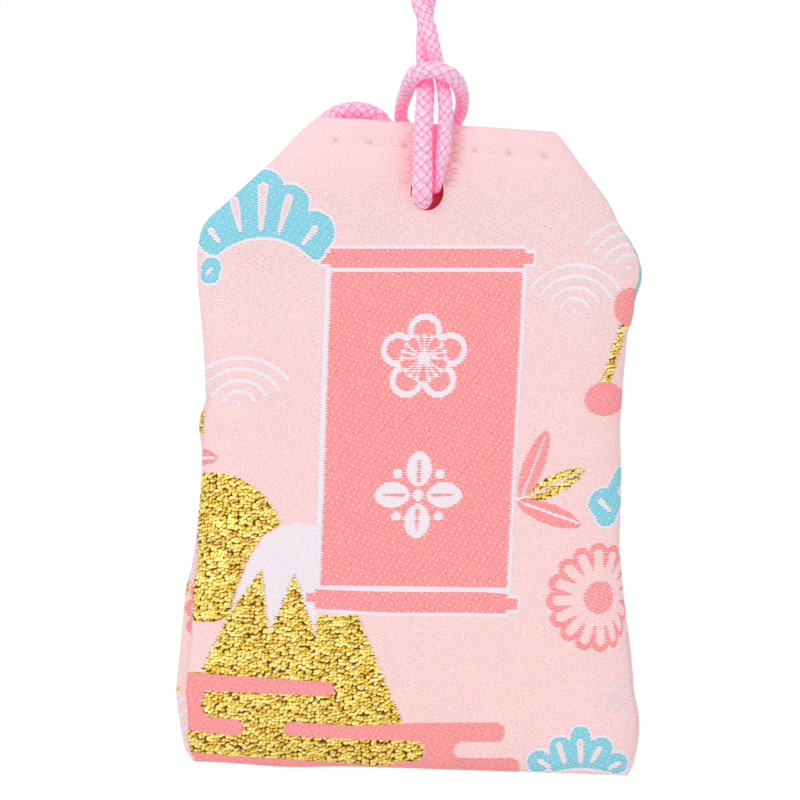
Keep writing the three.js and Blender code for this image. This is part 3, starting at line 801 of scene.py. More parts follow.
def cord_bounce_strength(x, z):
    """How strongly the cloth that the cord lies on is painted with the cord's bounce light and shade, and
    drawn into streaks by it.
    """
    off = x - BOUNCE_MIDDLE - BOUNCE_LEAN * z
    between = np.exp(-(off / BOUNCE_HALF) ** 4)
    beside = BESIDE_MOST * np.exp(-(np.clip(np.abs(off) - BESIDE_START, 0, None) / BESIDE_WIDTH) ** 2)
    return np.maximum(between, beside) * ease((z - BOUNCE_FOOT) / BOUNCE_FADE)


def upright(distance, p):
    """1 where a figure's edge is upright, so that weft yarns end at it, and 0 where they run along it."""
    steep = np.abs(np.diff(distance, axis=1)) / np.maximum(np.abs(np.diff(p, axis=1)), 1e-6)
    steep = np.pad(steep, ((0, 0), (1, 1)), mode="edge")
    return np.clip(np.maximum(steep[:, 1:], steep[:, :-1]), 0, 1)


def round_the_edges(x, depth):
    """Places across measured along the cloth, so that the weave isn't drawn out round the edges."""
    steps = [np.diff(values, axis=1, prepend=values[:, :1]) for values in (x, depth)]
    run = np.cumsum(np.hypot(*steps), 1)
    middle = slice(x.shape[1] // 2, x.shape[1] // 2 + 1)
    return run - run[:, middle] + x[:, middle]


def draw_hole(x, z, shrink=0.0):
    """Draws the mesh round the hole, and tells how far its points lie from the opened block.

    The hole can be shrunk all round, and most at its lower right, where no strand passes.
    """
    dx, dz = x - HOLE_MIDDLE[0], z - HOLE_MIDDLE[1]
    reach = np.maximum(np.abs(dx), np.abs(dz)) / HOLE_BLOCK
    angle = np.arctan2(dz / HOLE_HALF[1], dx / HOLE_HALF[0])
    share = 1 - ease((reach - 1) / (HOLE_REACH - 1))
    towards = np.clip(np.cos(angle - SHRINK_TOWARDS), 0, 1) ** 1.5
    size = 1 - shrink * (SHRINK_LEAST + (1 - SHRINK_LEAST) * towards)
    rim_x = HOLE_MIDDLE[0] + size * HOLE_HALF[0] * np.cos(angle)
    rim_z = HOLE_MIDDLE[1] + size * HOLE_HALF[1] * np.sin(angle)
    return x + share * (rim_x - x), z + share * (rim_z - z), reach


def add_rim(obj, side):
    """Turns the cloth in round the hole, and paints the turned-in rim dark with shade."""
    edit = bmesh.new()
    edit.from_mesh(obj.data)
    middle = from_pouch(HOLE_MIDDLE[0], 0.0, HOLE_MIDDLE[1])

    def is_near(vert):
        return math.hypot(vert.co.x - middle[0], vert.co.z - middle[2]) < RIM_SEARCH * MM

    near = [edge for edge in edit.edges if edge.is_boundary and all(is_near(vert) for vert in edge.verts)]
    made = bmesh.ops.extrude_edge_only(edit, edges=near)["geom"]
    for vert in [part for part in made if isinstance(part, bmesh.types.BMVert)]:
        vert.co.y -= side * HOLE_RIM * MM
        # painted shade on the turned-in rim
        vert[edit.verts.layers.float["needle_marks_and_shade"]] = RIM_DARK
    edit.to_mesh(obj.data)
    edit.free()


def make_panel(name, side):
    """One face of the pouch. Side is -1 for the front and 1 for the back."""
    heights, depths, lip_rows = cloth_rows()
    seams = [np.clip(seam(heights), 0, SIDE_SWELL) for seam in (left_seam, right_seam)]
    x, share = cloth_columns(heights, *[-side * np.arccos(1 - seam / SIDE_SWELL) for seam in seams])
    depth = depths[:, None] * share
    to_left = np.arange(x.shape[1]) * GRID
    to_right = to_left[::-1]
    x = x + SEAM_DENT * (np.exp(-to_left / SEAM_WIDTH) - np.exp(-to_right / SEAM_WIDTH))
    z = np.repeat(heights[:, None], x.shape[1], 1)
    on_lip = np.arange(len(heights))[:, None] < lip_rows
    drawn = draw_hole(x, z)
    x, z = np.where(on_lip, x, drawn[0]), np.where(on_lip, z, drawn[1])
    kept = corner_mean(np.where(on_lip, HOLE_REACH, drawn[2])) >= 1
    z = leaned(x, z)

    to_seam = np.minimum(to_left, to_right)[None, :]
    to_base = (np.arange(len(heights))[::-1] * GRID)[:, None]
    settled = 1 - np.exp(-np.minimum(to_seam, to_base) / SEAM_FADE)
    stands = (puckers(x, z, side) - np.where(on_lip, 0, sewn(x, z))) * settled * np.clip(share, 0, 1)
    p = x * -side
    q = z - SHEAR * p
    colours = brocade(Cloth(p, q), side)
    gold = np.maximum(colours["gold"], -np.minimum(colours["coral"], colours["turquoise"]))
    stands += GOLD_RAISED * ease((GOLD_EDGE - gold) / (2 * GOLD_EDGE)) * settled
    obj = grid_mesh(name, from_pouch(x, side * (depth + stands), z), keep=kept)
    for colour, distance in colours.items():
        set_values(obj, colour, distance)
        set_values(obj, f"{colour}_upright", upright(distance, p))
    # Painted bounce light and shade from the cord, on the front only
    set_values(obj, "painted_cord_bounce", cord_bounce_strength(x, z) if side < 0 else np.zeros_like(x))
    # Painted shade along the seams, where the cloth folds round
    seamed = SEAM_SHADE * np.exp(-(to_seam / SEAM_WIDTH) ** 2)
    set_values(obj, "needle_marks_and_shade", np.maximum(needle_marks_and_shade(x, z), seamed))
    set_weave(obj, -side * round_the_edges(x, depth), q)
    if side < 0:
        flip(obj)
    add_rim(obj, side)
    return obj


# Cord

def lengths(path):
    """Length along a path to each of its points."""
    return np.concatenate([[0], np.cumsum(np.linalg.norm(np.diff(path, axis=0), axis=1))])


def curve_points(points, step):
    """Evenly spaced points on the centripetal curve through a route."""
    points = np.asarray(points, float)
    padded = np.vstack([2 * points[0] - points[1], points, 2 * points[-1] - points[-2]])
    dense = []
    for a, b, c, d in zip(padded, padded[1:], padded[2:], padded[3:]):
        gaps = [math.sqrt(np.linalg.norm(v - u)) for u, v in ((a, b), (b, c), (c, d))]
        k0, k1, k2, k3 = np.cumsum([0.0] + gaps)
        t = np.linspace(k1, k2, CURVE_STEPS, endpoint=False)[:, None]

        def mix(u, v, low, high):
            return ((high - t) * u + (t - low) * v) / (high - low)

        ab, bc, cd = mix(a, b, k0, k1), mix(b, c, k1, k2), mix(c, d, k2, k3)
        dense.append(mix(mix(ab, bc, k0, k2), mix(bc, cd, k1, k3), k1, k2))
    dense = np.vstack(dense + [points[-1:]])
    along = lengths(dense)
    even = np.linspace(0, along[-1], int(along[-1] / step) + 1)
    return np.stack([np.interp(even, along, dense[:, axis]) for axis in range(3)], -1)


def tube_frames(path):
    """Two directions square to the path at each point, turning as little as they can."""
    ahead = np.gradient(path, axis=0)
    ahead /= np.linalg.norm(ahead, axis=1)[:, None]
    side = np.cross(ahead[0], [0.3, 0.9, 0.1])
    sides = []
    for direction in ahead:
        side = side - direction * (side @ direction)
        side /= np.linalg.norm(side)
        sides.append(side)
    sides = np.array(sides)
    return sides, np.cross(ahead, sides)


def tube(path, reach):
    """Places round a path, at a reach from it for each of its points and sides."""
    one, two = tube_frames(path)
    angle = np.linspace(0, TURN, reach.shape[1], endpoint=False)[None, :, None]
    return path[:, None] + reach[..., None] * (np.cos(angle) * one[:, None] + np.sin(angle) * two[:, None])


def yarn_top(place):
    """Height across a yarn, which leaves a gap on each side of it."""
    off = np.abs(place % 1 - 0.5) / (0.5 * BRAID_COVER)
    return np.where(off < 1, np.clip(1 - off ** BRAID_FLAT, 0, 1) ** 0.5, -BRAID_LIFT)


def uneven_braid(turn, along):
    """Places on a braid that isn't quite even: the share of a turn, and the length along the cord."""
    turn_by = BRAID_UNEVEN / BRAID_YARNS * np.sin(1.7 * along + 2 * TURN * turn)
    slide_by = BRAID_UNEVEN * BRAID_LENGTH * np.sin(2.3 * along - 3 * TURN * turn)
    return turn + turn_by, along + slide_by


def braid(turn, along):
    """Height of the braid's surface up to 1."""
    u = BRAID_YARNS * turn + along / BRAID_LENGTH
    v = BRAID_YARNS * turn - along / BRAID_LENGTH
    one = yarn_top(u) + BRAID_LIFT * np.sin(math.pi * (v + np.floor(u)))
    two = yarn_top(v) - BRAID_LIFT * np.sin(math.pi * (u + np.floor(v)))
    return np.clip((np.maximum(one, two) + BRAID_LIFT) / (1 + 2 * BRAID_LIFT), BRAID_FLOOR, 1)


def fullness(path, profile):
    """How full the cord is along a path."""
    return np.interp(path[:, 2], *zip(*profile))


def braided_cord(name, path, first=0, last=None, sealed=False, full=1.0):
    """A braided tube along a stretch of a path from the hole. A sealed end is melted round."""
    along = np.arange(len(path))[:, None] * CORD_STEP
    turn, slid = uneven_braid(np.linspace(0, 1, CORD_SIDES + 1)[None, :], along)
    height = braid(turn, slid)[:, :-1]
    reach = CORD_RADIUS * np.reshape(full, (-1, 1)) * (1 - BRAID_RELIEF * (1 - height))
    if sealed:
        tip = np.clip((along[-1] - along) / CORD_RADIUS, 0, 1)
        reach = reach * np.sqrt(1 - (1 - tip) ** 2)
    obj = grid_mesh(name, from_hole(tube(path, reach))[first:last], closed=True)
    places = np.stack([turn, slid], -1)[first:last]
    left, right = places[:, :-1], places[:, 1:]
    set_uv(obj, "braid", np.stack([left[:-1], right[:-1], right[1:], left[1:]], 2))
    return obj


# Materials

def linear(*srgb):
    """Scene colour of an sRGB colour given from 0 to 255."""
    values = [c / 255 for c in srgb]
    return [c / 12.92 if c <= 0.04045 else ((c + 0.055) / 1.055) ** 2.4 for c in values] + [1.0]


class Value:
    """An output of a shader node, for use in formulas."""

    def __init__(self, graph, socket):
        self.graph = graph
        self.socket = socket

    def __rsub__(self, other):
        return self.graph.math("SUBTRACT", other, self)

    def clamped(self):
        return self.graph.math("ADD", self, 0.0, clamp=True)


def formula_step(operation):
    return lambda value, *others: value.graph.math(operation, value, *others)


for step, operation in FORMULA_STEPS.items():
    setattr(Value, step, formula_step(operation))


class Graph:
    """Short ways to add nodes to a new material or world. Colours in mixes and ramps are sRGB."""

    def __init__(self, owner):
        owner.use_nodes = True
        self.owner = owner
        self.tree = owner.node_tree

    def put(self, socket, value):
        if isinstance(value, Value):
            self.tree.links.new(value.socket, socket)
        elif value is not None:
            socket.default_value = value

    def fill(self, node, *values):
        for socket, value in zip(node.inputs, values):
            self.put(socket, value)

    def fill_named(self, node, **values):
        for name, value in values.items():
            self.put(node.inputs[name.replace("_", " ")], value)

    def node(self, kind, *values, **settings):
        node = self.tree.nodes.new(kind)
        for key, value in settings.items():
            setattr(node, key, value)
        self.fill(node, *values)
        return node

    def out(self, output, kind, *values, **settings):
        return Value(self, self.node(kind, *values, **settings).outputs[output])

    def math(self, operation, *values, clamp=False):
        return self.out(0, "ShaderNodeMath", *values, operation=operation, use_clamp=clamp)

    def vector(self, operation, a, b, output="Vector"):
        return self.out(output, "ShaderNodeVectorMath", a, b, operation=operation)

    def dot(self, vector, direction):
        return self.vector("DOT_PRODUCT", vector, direction, "Value")

    def value(self, name):
        return self.out("Fac", "ShaderNodeAttribute", attribute_name=name)

    def mix(self, share, a, b, blend="MIX"):
        node = self.node("ShaderNodeMix", data_type="RGBA", blend_type=blend)
        for name, value in (("Factor", share), ("A", a), ("B", b)):
            socket = next(s for s in node.inputs if s.name == name and s.enabled)
            self.put(socket, linear(*value) if isinstance(value, tuple) else value)
        return Value(self, next(s for s in node.outputs if s.enabled))

    def layers(self, colour, *coats):
        """A colour with others laid over it, each by its share."""
        for share, coat in coats:
            colour = self.mix(share, colour, coat)
        return colour

    def ramp(self, share, *stops):
        """A run of colours, or of plain levels."""
        node = self.node("ShaderNodeValToRGB", share)
        while len(node.color_ramp.elements) < len(stops):
            node.color_ramp.elements.new(0.5)
        for element, (place, colour) in zip(node.color_ramp.elements, stops):
            element.position = place
            element.color = linear(*colour) if isinstance(colour, tuple) else [colour] * 3 + [1.0]
        return Value(self, node.outputs["Color"])

    def named(self, output, kind, **values):
        node = self.node(kind)
        self.fill_named(node, **values)
        return Value(self, node.outputs[output])

    def noise(self, vector, scale, detail=2.0, output="Fac"):
        return self.named(output, "ShaderNodeTexNoise", Vector=vector, Scale=scale, Detail=detail)

    def bump(self, height, distance, strength):
        return self.named("Normal", "ShaderNodeBump", Height=height, Distance=distance, Strength=strength)

    def finish(self, **values):
        self.fill_named(self.tree.nodes["Principled BSDF"], **values)
        return self.owner


def specks(g, uv, fineness, half, shift, seed, least):
    """1 where the satin is bound, falling to 0 round it, each place with its own strength and shift."""
    (ax, ay), (bx, by) = LATTICE
    scale = fineness / (ax * by - ay * bx)
    along = g.dot(uv, (by * scale, -bx * scale, 0)) + shift[0]
    beside = g.dot(uv, (-ay * scale, ax * scale, 0)) + shift[1]
    cell = g.out(0, "ShaderNodeCombineXYZ", along.floor(), beside.floor(), seed)
    chance = g.out("Color", "ShaderNodeTexWhiteNoise", cell, noise_dimensions="3D")
    along = (along.fract() - 0.5) + (g.dot(chance, (1, 0, 0)) - 0.5) * JITTER
    beside = (beside.fract() - 0.5) + (g.dot(chance, (0, 1, 0)) - 0.5) * JITTER
    across = along * (ax / fineness) + beside * (bx / fineness)
    up = along * (ay / fineness) + beside * (by / fineness)
    near = 1.0 - ((across * (1 / half[0])) ** 2.0 + (up * (1 / half[1])) ** 2.0)
    return near.at_least(0.0) * (g.dot(chance, (0, 0, 1 - least)) + least)


def grains(g, place):
    """Distance to the nearest grain's middle, and a colour by chance for that grain."""
    node = g.node("ShaderNodeTexVoronoi", place, voronoi_dimensions="2D")
    g.fill_named(node, Scale=1.0, Randomness=GRAIN_RANDOM)
    return Value(g, node.outputs["Distance"]), Value(g, node.outputs["Color"])


def gold_yarn(g, uv):
    """Colour and height of flat metal yarn: bright floats like grains of rice, over dark gaps, with painted
    highlights and painted shade on one side of each float and in the gaps.
    """
    drift = g.noise(uv, 0.45) * GRAIN_DRIFT + g.dot(uv, (0, 1, 0))
    place = g.out(0, "ShaderNodeCombineXYZ", g.dot(uv, (1 / GRAIN[0], 0, 0)), drift * (1 / GRAIN[1]))
    distance, chance = grains(g, place)
    # Painted light: each float lighter on one side and shaded on the other, the ramp's top a painted
    # highlight, the gaps painted dark as shade
    lit = grains(g, g.vector("ADD", place, GRAIN_LIGHT))[0] - distance
    tone = lit * 0.66 + (g.dot(chance, (1, 0, 0)) * 0.5 + 0.32)
    gold = g.ramp(
        tone, (0.1, (56, 28, 0)), (0.28, (158, 100, 16)), (0.43, (220, 170, 44)), (0.62, (250, 218, 70)),
        (0.86, (255, 252, 172)),
    )
    return g.mix(distance.above(GRAIN_GAP), gold, (84, 46, 2)), 1.0 - distance


class Weave:
    """What the brocade's yarns share: places on the cloth, the satin's patterns and the figures' edges."""

    def __init__(self, g):
        even = g.out("UV", "ShaderNodeUVMap", uv_map="weave")
        self.g = g
        self.height = g.dot(even, (0, 1, 0))
        self.soft = g.noise(even, 0.6, 3.0)
        self.fine = g.noise(g.vector("MULTIPLY", even, (3.4, 5.0, 1)), 1.0)
        waver = g.vector("MULTIPLY", g.noise(even, 1.3, output="Color"), (WOBBLE, WOBBLE, 0))
        self.uv = g.vector("ADD", even, waver)
        self.twill = (g.dot(self.uv, TWILL_ACROSS) * (TURN / TWILL)).sine() * 0.5 + 0.5
        self.dash = specks(g, self.uv, *DASHES)
        self.dot = specks(g, self.uv, *DOTS)
        self.float_top = specks(g, self.uv, *FLOATS)

        # Yarn ends step in and out along a figure's edge, row by row
        row = self.height * (1 / WEFT)
        tooth = g.math("PINGPONG", row, 0.5) - 0.25
        chance = g.out("Value", "ShaderNodeTexWhiteNoise", None, row.floor(), noise_dimensions="1D")
        self.ends = tooth * TOOTH + (chance - 0.5) * UNEVEN

    def mask(self, name):
        reach = self.ends * self.g.value(f"{name}_upright") * RAGGED[name]
        return (reach + self.g.value(name)).below(0.0)

    def rim(self, name, most):
        """The shade along a figure's upright edges, where the yarns dive."""
        near = abs(self.g.value(name)) * (-1 / RIM_WIDTH) + 1.0
        return near.clamped() * most * self.g.value(f"{name}_upright")


def ground_satin(g, weave):
    """The pink ground. Its specks are strongest round the hole, and the hem is smooth and pinker with
    painted light bounced from the cord.
    """
    level = weave.height * (1 / LEVEL_SPAN) + LEVEL_BASE / LEVEL_SPAN
    speckled = g.ramp(level, (0.0, 0.16), (0.5, 0.28), (0.78, 1.0), (0.88, 1.0), (0.95, 0.15))
    # painted pink bounce light from the cord, over the hem
    hem = (weave.height * (1 / 5) + 0.1).clamped()
    plain = g.ramp(weave.fine, (0.32, (243, 194, 197)), (0.5, (253, 210, 210)), (0.68, (255, 225, 222)))
    return g.layers(
        plain, (weave.twill * 0.2, (255, 226, 225)), (hem * 0.6, (255, 216, 223)),
        (speckled * 0.3, (238, 216, 222)), (weave.dot * speckled, (202, 174, 179)),
        (weave.float_top * 0.7, (255, 238, 238)), (weave.rim("white", 0.5), (196, 176, 196)),
    )


def coral_yarn(g, weave):
    """Coral with specks of painted shadow and pale dashes, fewer at the right and near the base, and seeds
    on the flower.
    """
    inner = (g.dot(weave.uv, (-1, 0, 0)) + 13.0).clamped() * 0.42 + 0.58
    upper = (weave.height * 0.4 + 20.0).clamped() * 0.5 + 0.5
    on_disc = g.vector("DISTANCE", weave.uv, (*FLOWER, 0), "Value").below(DISC_RADIUS)
    return g.layers(
        g.mix(weave.twill, (251, 148, 151), (255, 156, 158)),
        (specks(g, weave.uv, *PIT_SHADOWS), (220, 98, 110)), (weave.dash * (inner * upper), (255, 240, 232)),
        (specks(g, weave.uv, *SEEDS) * on_disc, (255, 214, 212)),
        (weave.rim("coral", 0.4), (224, 98, 108)),
    )


def white_yarn(g, weave):
    return g.layers(
        g.mix(weave.twill, (242, 230, 239), (246, 236, 244)), (weave.dot * 0.5, (208, 200, 210)),
    )


def turquoise_yarn(g, weave):
    return g.layers(
        g.mix(weave.twill, (122, 209, 228), (134, 216, 233)), (weave.dot * 0.9, (84, 168, 198)),
        (weave.float_top * 0.6, (168, 234, 244)), (weave.dash * 0.7, (236, 250, 252)),
        (weave.rim("turquoise", 0.5), (70, 140, 180)),
    )


def brocade_material():
    g = Graph(bpy.data.materials.new("brocade"))
    weave = Weave(g)
    gold, lump = gold_yarn(g, weave.uv)
    is_coral, is_turquoise = weave.mask("coral"), weave.mask("turquoise")
    is_gold = weave.mask("gold") * (1.0 - is_coral) * (1.0 - is_turquoise)

    # Painted light and shade from the cord: between the strands the cloth is tinted coral and given a
    # painted glow, standing in for light that comes through the cord; beside them are streaks of painted
    # shade where the cord draws the cloth
    painted_cord_bounce = g.value("painted_cord_bounce")
    streak = (g.noise(g.vector("MULTIPLY", weave.uv, (1.1, 4.4, 1)), 1.0, 1.0) * 9.0 - 4.2).clamped()
    drawn = (1.0 - painted_cord_bounce) * streak + painted_cord_bounce ** 2.0
    beside = painted_cord_bounce * (1.0 - painted_cord_bounce) * 1.9
    glow = (painted_cord_bounce * 2.5 - 1.5).clamped() * 0.13
    colour = g.layers(
        ground_satin(g, weave), (weave.mask("white"), white_yarn(g, weave)),
        (is_coral, coral_yarn(g, weave)), (is_turquoise, turquoise_yarn(g, weave)), (is_gold, gold),
        # needle marks with painted shade, and painted shade along the seams and on the hole's rim
        (weave.soft * 0.08, (240, 198, 204)), (g.value("needle_marks_and_shade") * 0.5, (178, 76, 92)),
        (painted_cord_bounce * drawn, (249, 176, 188)), (beside * streak, (234, 130, 148)),
    )
    relief = is_gold * lump * 1.2 + (weave.twill * 0.2 + (weave.fine * 0.25 + weave.float_top * 0.3))
    return g.finish(
        Base_Color=colour, Roughness=is_gold * -0.4 + 0.75, Metallic=is_gold * 0.4,
        Specular_IOR_Level=is_gold * -0.35 + 0.4, Normal=g.bump(relief, 0.00007, 0.6),
        # Painted glow between the strands, though the cloth is no lamp
        Emission_Color=linear(255, 160, 176), Emission_Strength=glow,
        Sheen_Weight=0.15, Sheen_Roughness=0.4,
    )


def shader_yarn(place, other, lift):
    """Height of a yarn of the braid that rises and dips under the others."""
    off = abs(place.fract() - 0.5) * (2 / BRAID_COVER)
    top = (1.0 - off ** BRAID_FLAT).at_least(0.0) ** 0.5
    top = (top + BRAID_LIFT) * off.below(1.0)
    return ((other + place.floor()) * math.pi).sine() * lift + (top - BRAID_LIFT)


def cord_material():
    """The braid, yarn by yarn, with dark lines of painted shade where one passes under another, lighter
    where a yarn rises, and a painted highlight along each yarn.
    """
    g = Graph(bpy.data.materials.new("cord"))
    uv = g.out("UV", "ShaderNodeUVMap", uv_map="braid")
    u = g.dot(uv, (BRAID_YARNS, 1 / BRAID_LENGTH, 0))
    v = g.dot(uv, (BRAID_YARNS, -1 / BRAID_LENGTH, 0))
    one, two = shader_yarn(u, v, BRAID_LIFT), shader_yarn(v, u, -BRAID_LIFT)
    height = ((one.at_least(two) + BRAID_LIFT) * (1 / (1 + 2 * BRAID_LIFT))).at_least(BRAID_FLOOR)
    line = (1.0 - abs(one - two) * (1 / BRAID_EDGE)).at_least(0.0)
    across = one.above(two) * (u.fract() - v.fract()) + v.fract()
    fibres = (across * (TURN * BRAID_FIBRES)).sine()
    speck = g.noise(g.out("Object", "ShaderNodeTexCoord"), 3000.0)
    glint = (1.0 - abs(across - GLINT_PLACE) * (1 / GLINT_HALF)).at_least(0.0)
    # Painted light: yarns lighter where they rise, painted shade in the dark lines, a painted highlight
    # along each yarn
    shade = height * 0.66 + 0.26 + line * -0.65 + fibres * 0.08 + glint * 0.22 + (speck - 0.5) * 0.45
    colour = g.ramp(
        shade, (0.1, (176, 58, 118)), (0.38, (236, 120, 182)), (0.68, (255, 171, 213)),
        (1.0, (255, 226, 244)),
    )

    # Painted shade: in the hollows, found by ambient occlusion, the colour is multiplied to a hotter pink,
    # with a painted glow there for the light that comes through the cord, and a faint painted glow all over
    open_to_light = g.out("AO", "ShaderNodeAmbientOcclusion", None, HOLLOW_REACH * MM, samples=6)
    hollow_shade = ((1.0 - open_to_light) * 1.7 - 0.35).clamped()
    return g.finish(
        Base_Color=g.mix(hollow_shade, colour, (255, 172, 204), "MULTIPLY"), Roughness=0.45,
        Normal=g.bump(line * -0.8 + (fibres * 0.4 + speck), 0.00004, 0.8),
        Emission_Color=linear(255, 98, 160), Emission_Strength=hollow_shade * 0.28 + 0.05,
        Sheen_Weight=0.15, Sheen_Roughness=0.35,
        Subsurface_Weight=0.2, Subsurface_Radius=(1.0, 0.35, 0.55), Subsurface_Scale=0.0003,
    )


def plain_cloth(name, dark, light, scale, roughness=0.8, height=0.00004):
    """A finely textured plain material: lining, wadding, card, paper or thread."""
    g = Graph(bpy.data.materials.new(name))
    place = g.vector("MULTIPLY", g.out("Object", "ShaderNodeTexCoord"), (1, 1, 2.2))
    grain = g.noise(place, scale, 4.0)
    colour = g.ramp(grain, (0.3, dark), (0.7, light))
    return g.finish(Base_Color=colour, Roughness=roughness, Normal=g.bump(grain, height, 0.7))


materials = {
    "brocade": brocade_material(),
    "cord": cord_material(),
    "lining": plain_cloth("lining", (172, 26, 46), (216, 54, 74), 2500.0),
    "padding": plain_cloth("padding", (226, 222, 212), (250, 248, 242), 900.0, 0.95, 0.0003),
    "card": plain_cloth("card", (168, 136, 94), (196, 164, 120), 1500.0, 0.9),
    "paper": plain_cloth("paper", (238, 234, 222), (252, 249, 240), 1200.0, 0.85),
    "thread": plain_cloth("thread", (244, 214, 216), (255, 236, 236), 4000.0, 0.55),
}


def dress(obj, slot, body, *nodes):
    """Gives a piece its material, the nodes that it stands for and, unless it bends, its body."""
    obj.data.materials.append(materials[slot])
    if body:
        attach(obj, body)
    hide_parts(*nodes)
    return obj


# Pieces

def make_lining(name, side):
    """A plain sheet behind a face, with a hole a little smaller than the brocade's."""
    heights = np.arange(BASE + LINING_INSET, TOP - LINING_DROP, LINING_GRID)
    across = np.linspace(0, 1, int(LINING_WIDTH / LINING_GRID))[None, :]
    left = left_edge(heights)[:, None] + LINING_INSET
    right = right_edge(heights)[:, None] - LINING_INSET
    x = left + (right - left) * across
    z = np.repeat(heights[:, None], x.shape[1], 1)
    edge = np.clip(np.minimum(x - left, right - x) + LINING_INSET, 0, SIDE_SWELL) / SIDE_SWELL
    depth = depth_at(z) * np.sqrt(1 - (1 - edge) ** 2) - LINING_GAP
    crumple = LINING_CRUMPLE * np.sin(1.1 * x + 0.6 * z) * np.sin(0.8 * z - 0.4 * x)
    x, z, reach = draw_hole(x, z, LINING_SHRINK)
    obj = grid_mesh(name, from_pouch(x, side * (depth + crumple), z), keep=corner_mean(reach) >= 1)
    return obj if side > 0 else flip(obj)


def make_padding():
    """The wadding in front of the card: a soft sheet with thin round edges."""
    u, v = np.meshgrid(*[np.linspace(-1, 1, count) for count in PAD_GRID])
    pull = PAD_CORNER * np.abs(u * v) ** 8
    x = PAD_HALF_WIDTH * u - np.sign(u) * pull
    z = PAD_MIDDLE + PAD_HALF_HEIGHT * v - np.sign(v) * pull
    body = np.sqrt(1 - np.maximum(np.abs(u), np.abs(v)) ** 10)
    soft = PAD_WAVE * np.sin(0.9 * x + 0.5 * z) * np.sin(0.7 * z - 0.3 * x) * body
    half = PAD_THICK / 2 * (PAD_EDGE + (1 - PAD_EDGE) * body)
    front = from_pouch(x, PAD_FRONT + PAD_THICK / 2 - half + soft, z)
    back = from_pouch(x, PAD_FRONT + PAD_THICK / 2 + half + soft, z)
    return grid_mesh("wadding", np.concatenate([front, back[:, ::-1]], 1), closed=True)


def thread(name, *path):
    """A two-ply thread along a path in the pouch's own frame."""
    path = np.stack(path, -1)
    angle = np.linspace(0, TURN, THREAD_SIDES, endpoint=False)[None, :]
    plies = np.cos(2 * (angle - lengths(path)[:, None] * TURN / THREAD_LAY))
    places = tube(path, THREAD_RADIUS * (1 - THREAD_PLY + THREAD_PLY * plies))
    return grid_mesh(name, from_pouch(*np.moveaxis(places, -1, 0)), closed=True)


def top_stitches(name, side):
    """The row of stitches along the top, each one going into the cloth at its ends."""
    x = np.arange(*STITCH_ENDS, STITCH_STEP)
    z = STITCH_HEIGHT + STITCH_SLOPE * x
    share = (x - STITCH_START) / STITCH_PITCH
    clear_of_cord = 1 - np.exp(-((x - CORD_ACROSS[0]) / CORD_ACROSS[1]) ** 6)
    stitch = np.abs(np.sin(math.pi * share)) ** 0.4 * clear_of_cord
    inward = np.clip(np.minimum(x - left_edge(z), right_edge(z) - x) / SIDE_SWELL, 0, 1)
    cloth = HEM_DEPTH * np.sqrt(1 - (1 - inward) ** 2) + puckers(x, z, side) - sewn(x, z)
    return thread(name, x, side * (cloth + THREAD_RADIUS * (STITCH_RISE * stitch - STITCH_SINK)), z)


def seam_thread(name, across, z):
    """A seam inside the pouch, just within its edge."""
    return thread(name, across, SEAM_DIP * np.sin(TURN * np.arange(len(z)) / SEAM_WAVE), z)


def build_sewing():
    z = np.arange(TOP - SEAM_ENDS[0], BASE + SEAM_ENDS[1], -SEAM_STEP)
    x = np.arange(-BASE_SEAM_HALF, BASE_SEAM_HALF, SEAM_STEP)
    threads = [
        (top_stitches("front_stitches", -1), "top_stitch_front"),
        (top_stitches("back_stitches", 1), "top_stitch_back"),
        (seam_thread("left_seam", left_edge(z) + SEAM_INSET, z), "left_seam_thread"),
        (seam_thread("right_seam", right_edge(z) - SEAM_INSET, z), "right_seam_thread"),
        (seam_thread("base_seam", x, np.full_like(x, BASE + SEAM_INSET)), "bottom_seam_thread"),
    ]
    for obj, node in threads:
        dress(obj, "thread", "pouch", node)


def build_pouch():
    wadding = dress(make_padding(), "padding", "pouch", "padding_sheet")
    for name, side in (("front", -1), ("back", 1)):
        cloth = dress(make_panel(f"{name}_cloth", side), "brocade", "pouch", f"{name}_panel")
        lining = dress(make_lining(f"{name}_lining_cloth", side), "lining", "pouch", f"{name}_lining")
    build_sewing()


def beside_axis(out, back, up):
    """A route round the axis that the charm hangs by."""
    return np.stack(np.broadcast_arrays(HANG_AXIS[0] + out, HANG_AXIS[1] + back, up), -1)


def end_knot():
    """The knot that ties the cord's two ends: turns drawn tight round both, and the ends beyond it."""
    turns = np.linspace(0, 1, KNOT_POINTS)
    angle = TURN * KNOT_TURNS * turns + KNOT_START
    out = KNOT_OUT * ease(turns / KNOT_TUCK) * ease((1 - turns) / KNOT_TUCK) + KNOT_INNER
    rise = KNOT_BOTTOM + KNOT_MARGIN + (KNOT_HEIGHT - 2 * KNOT_MARGIN) * turns
    route = beside_axis(out * np.cos(angle), out * np.sin(angle), rise + KNOT_LEAN * np.cos(angle))
    knot = braided_cord("tied_knot", curve_points(route, CORD_STEP))
    pieces = [dress(knot, "cord", "loop", "end_knot")]
    for name, side in (("left", -1), ("right", 1)):
        up = np.linspace(0, 1, 8)
        root = beside_axis(side * TAIL_ROOT[0], 0.0, KNOT_BOTTOM + TAIL_ROOT[1])
        free = beside_axis(
            side * (TAIL_START + TAIL_SPREAD * up * up), -side * TAIL_SKEW * up,
            KNOT_BOTTOM + KNOT_HEIGHT + TAIL_RISE + TAIL_LENGTH * up,
        )
        path = curve_points(np.vstack([root, free]), CORD_STEP)
        tail = braided_cord(f"cord_end_{name}", path, sealed=True)
        pieces.append(dress(tail, "cord", "loop", f"tail_{name}"))
    return pieces


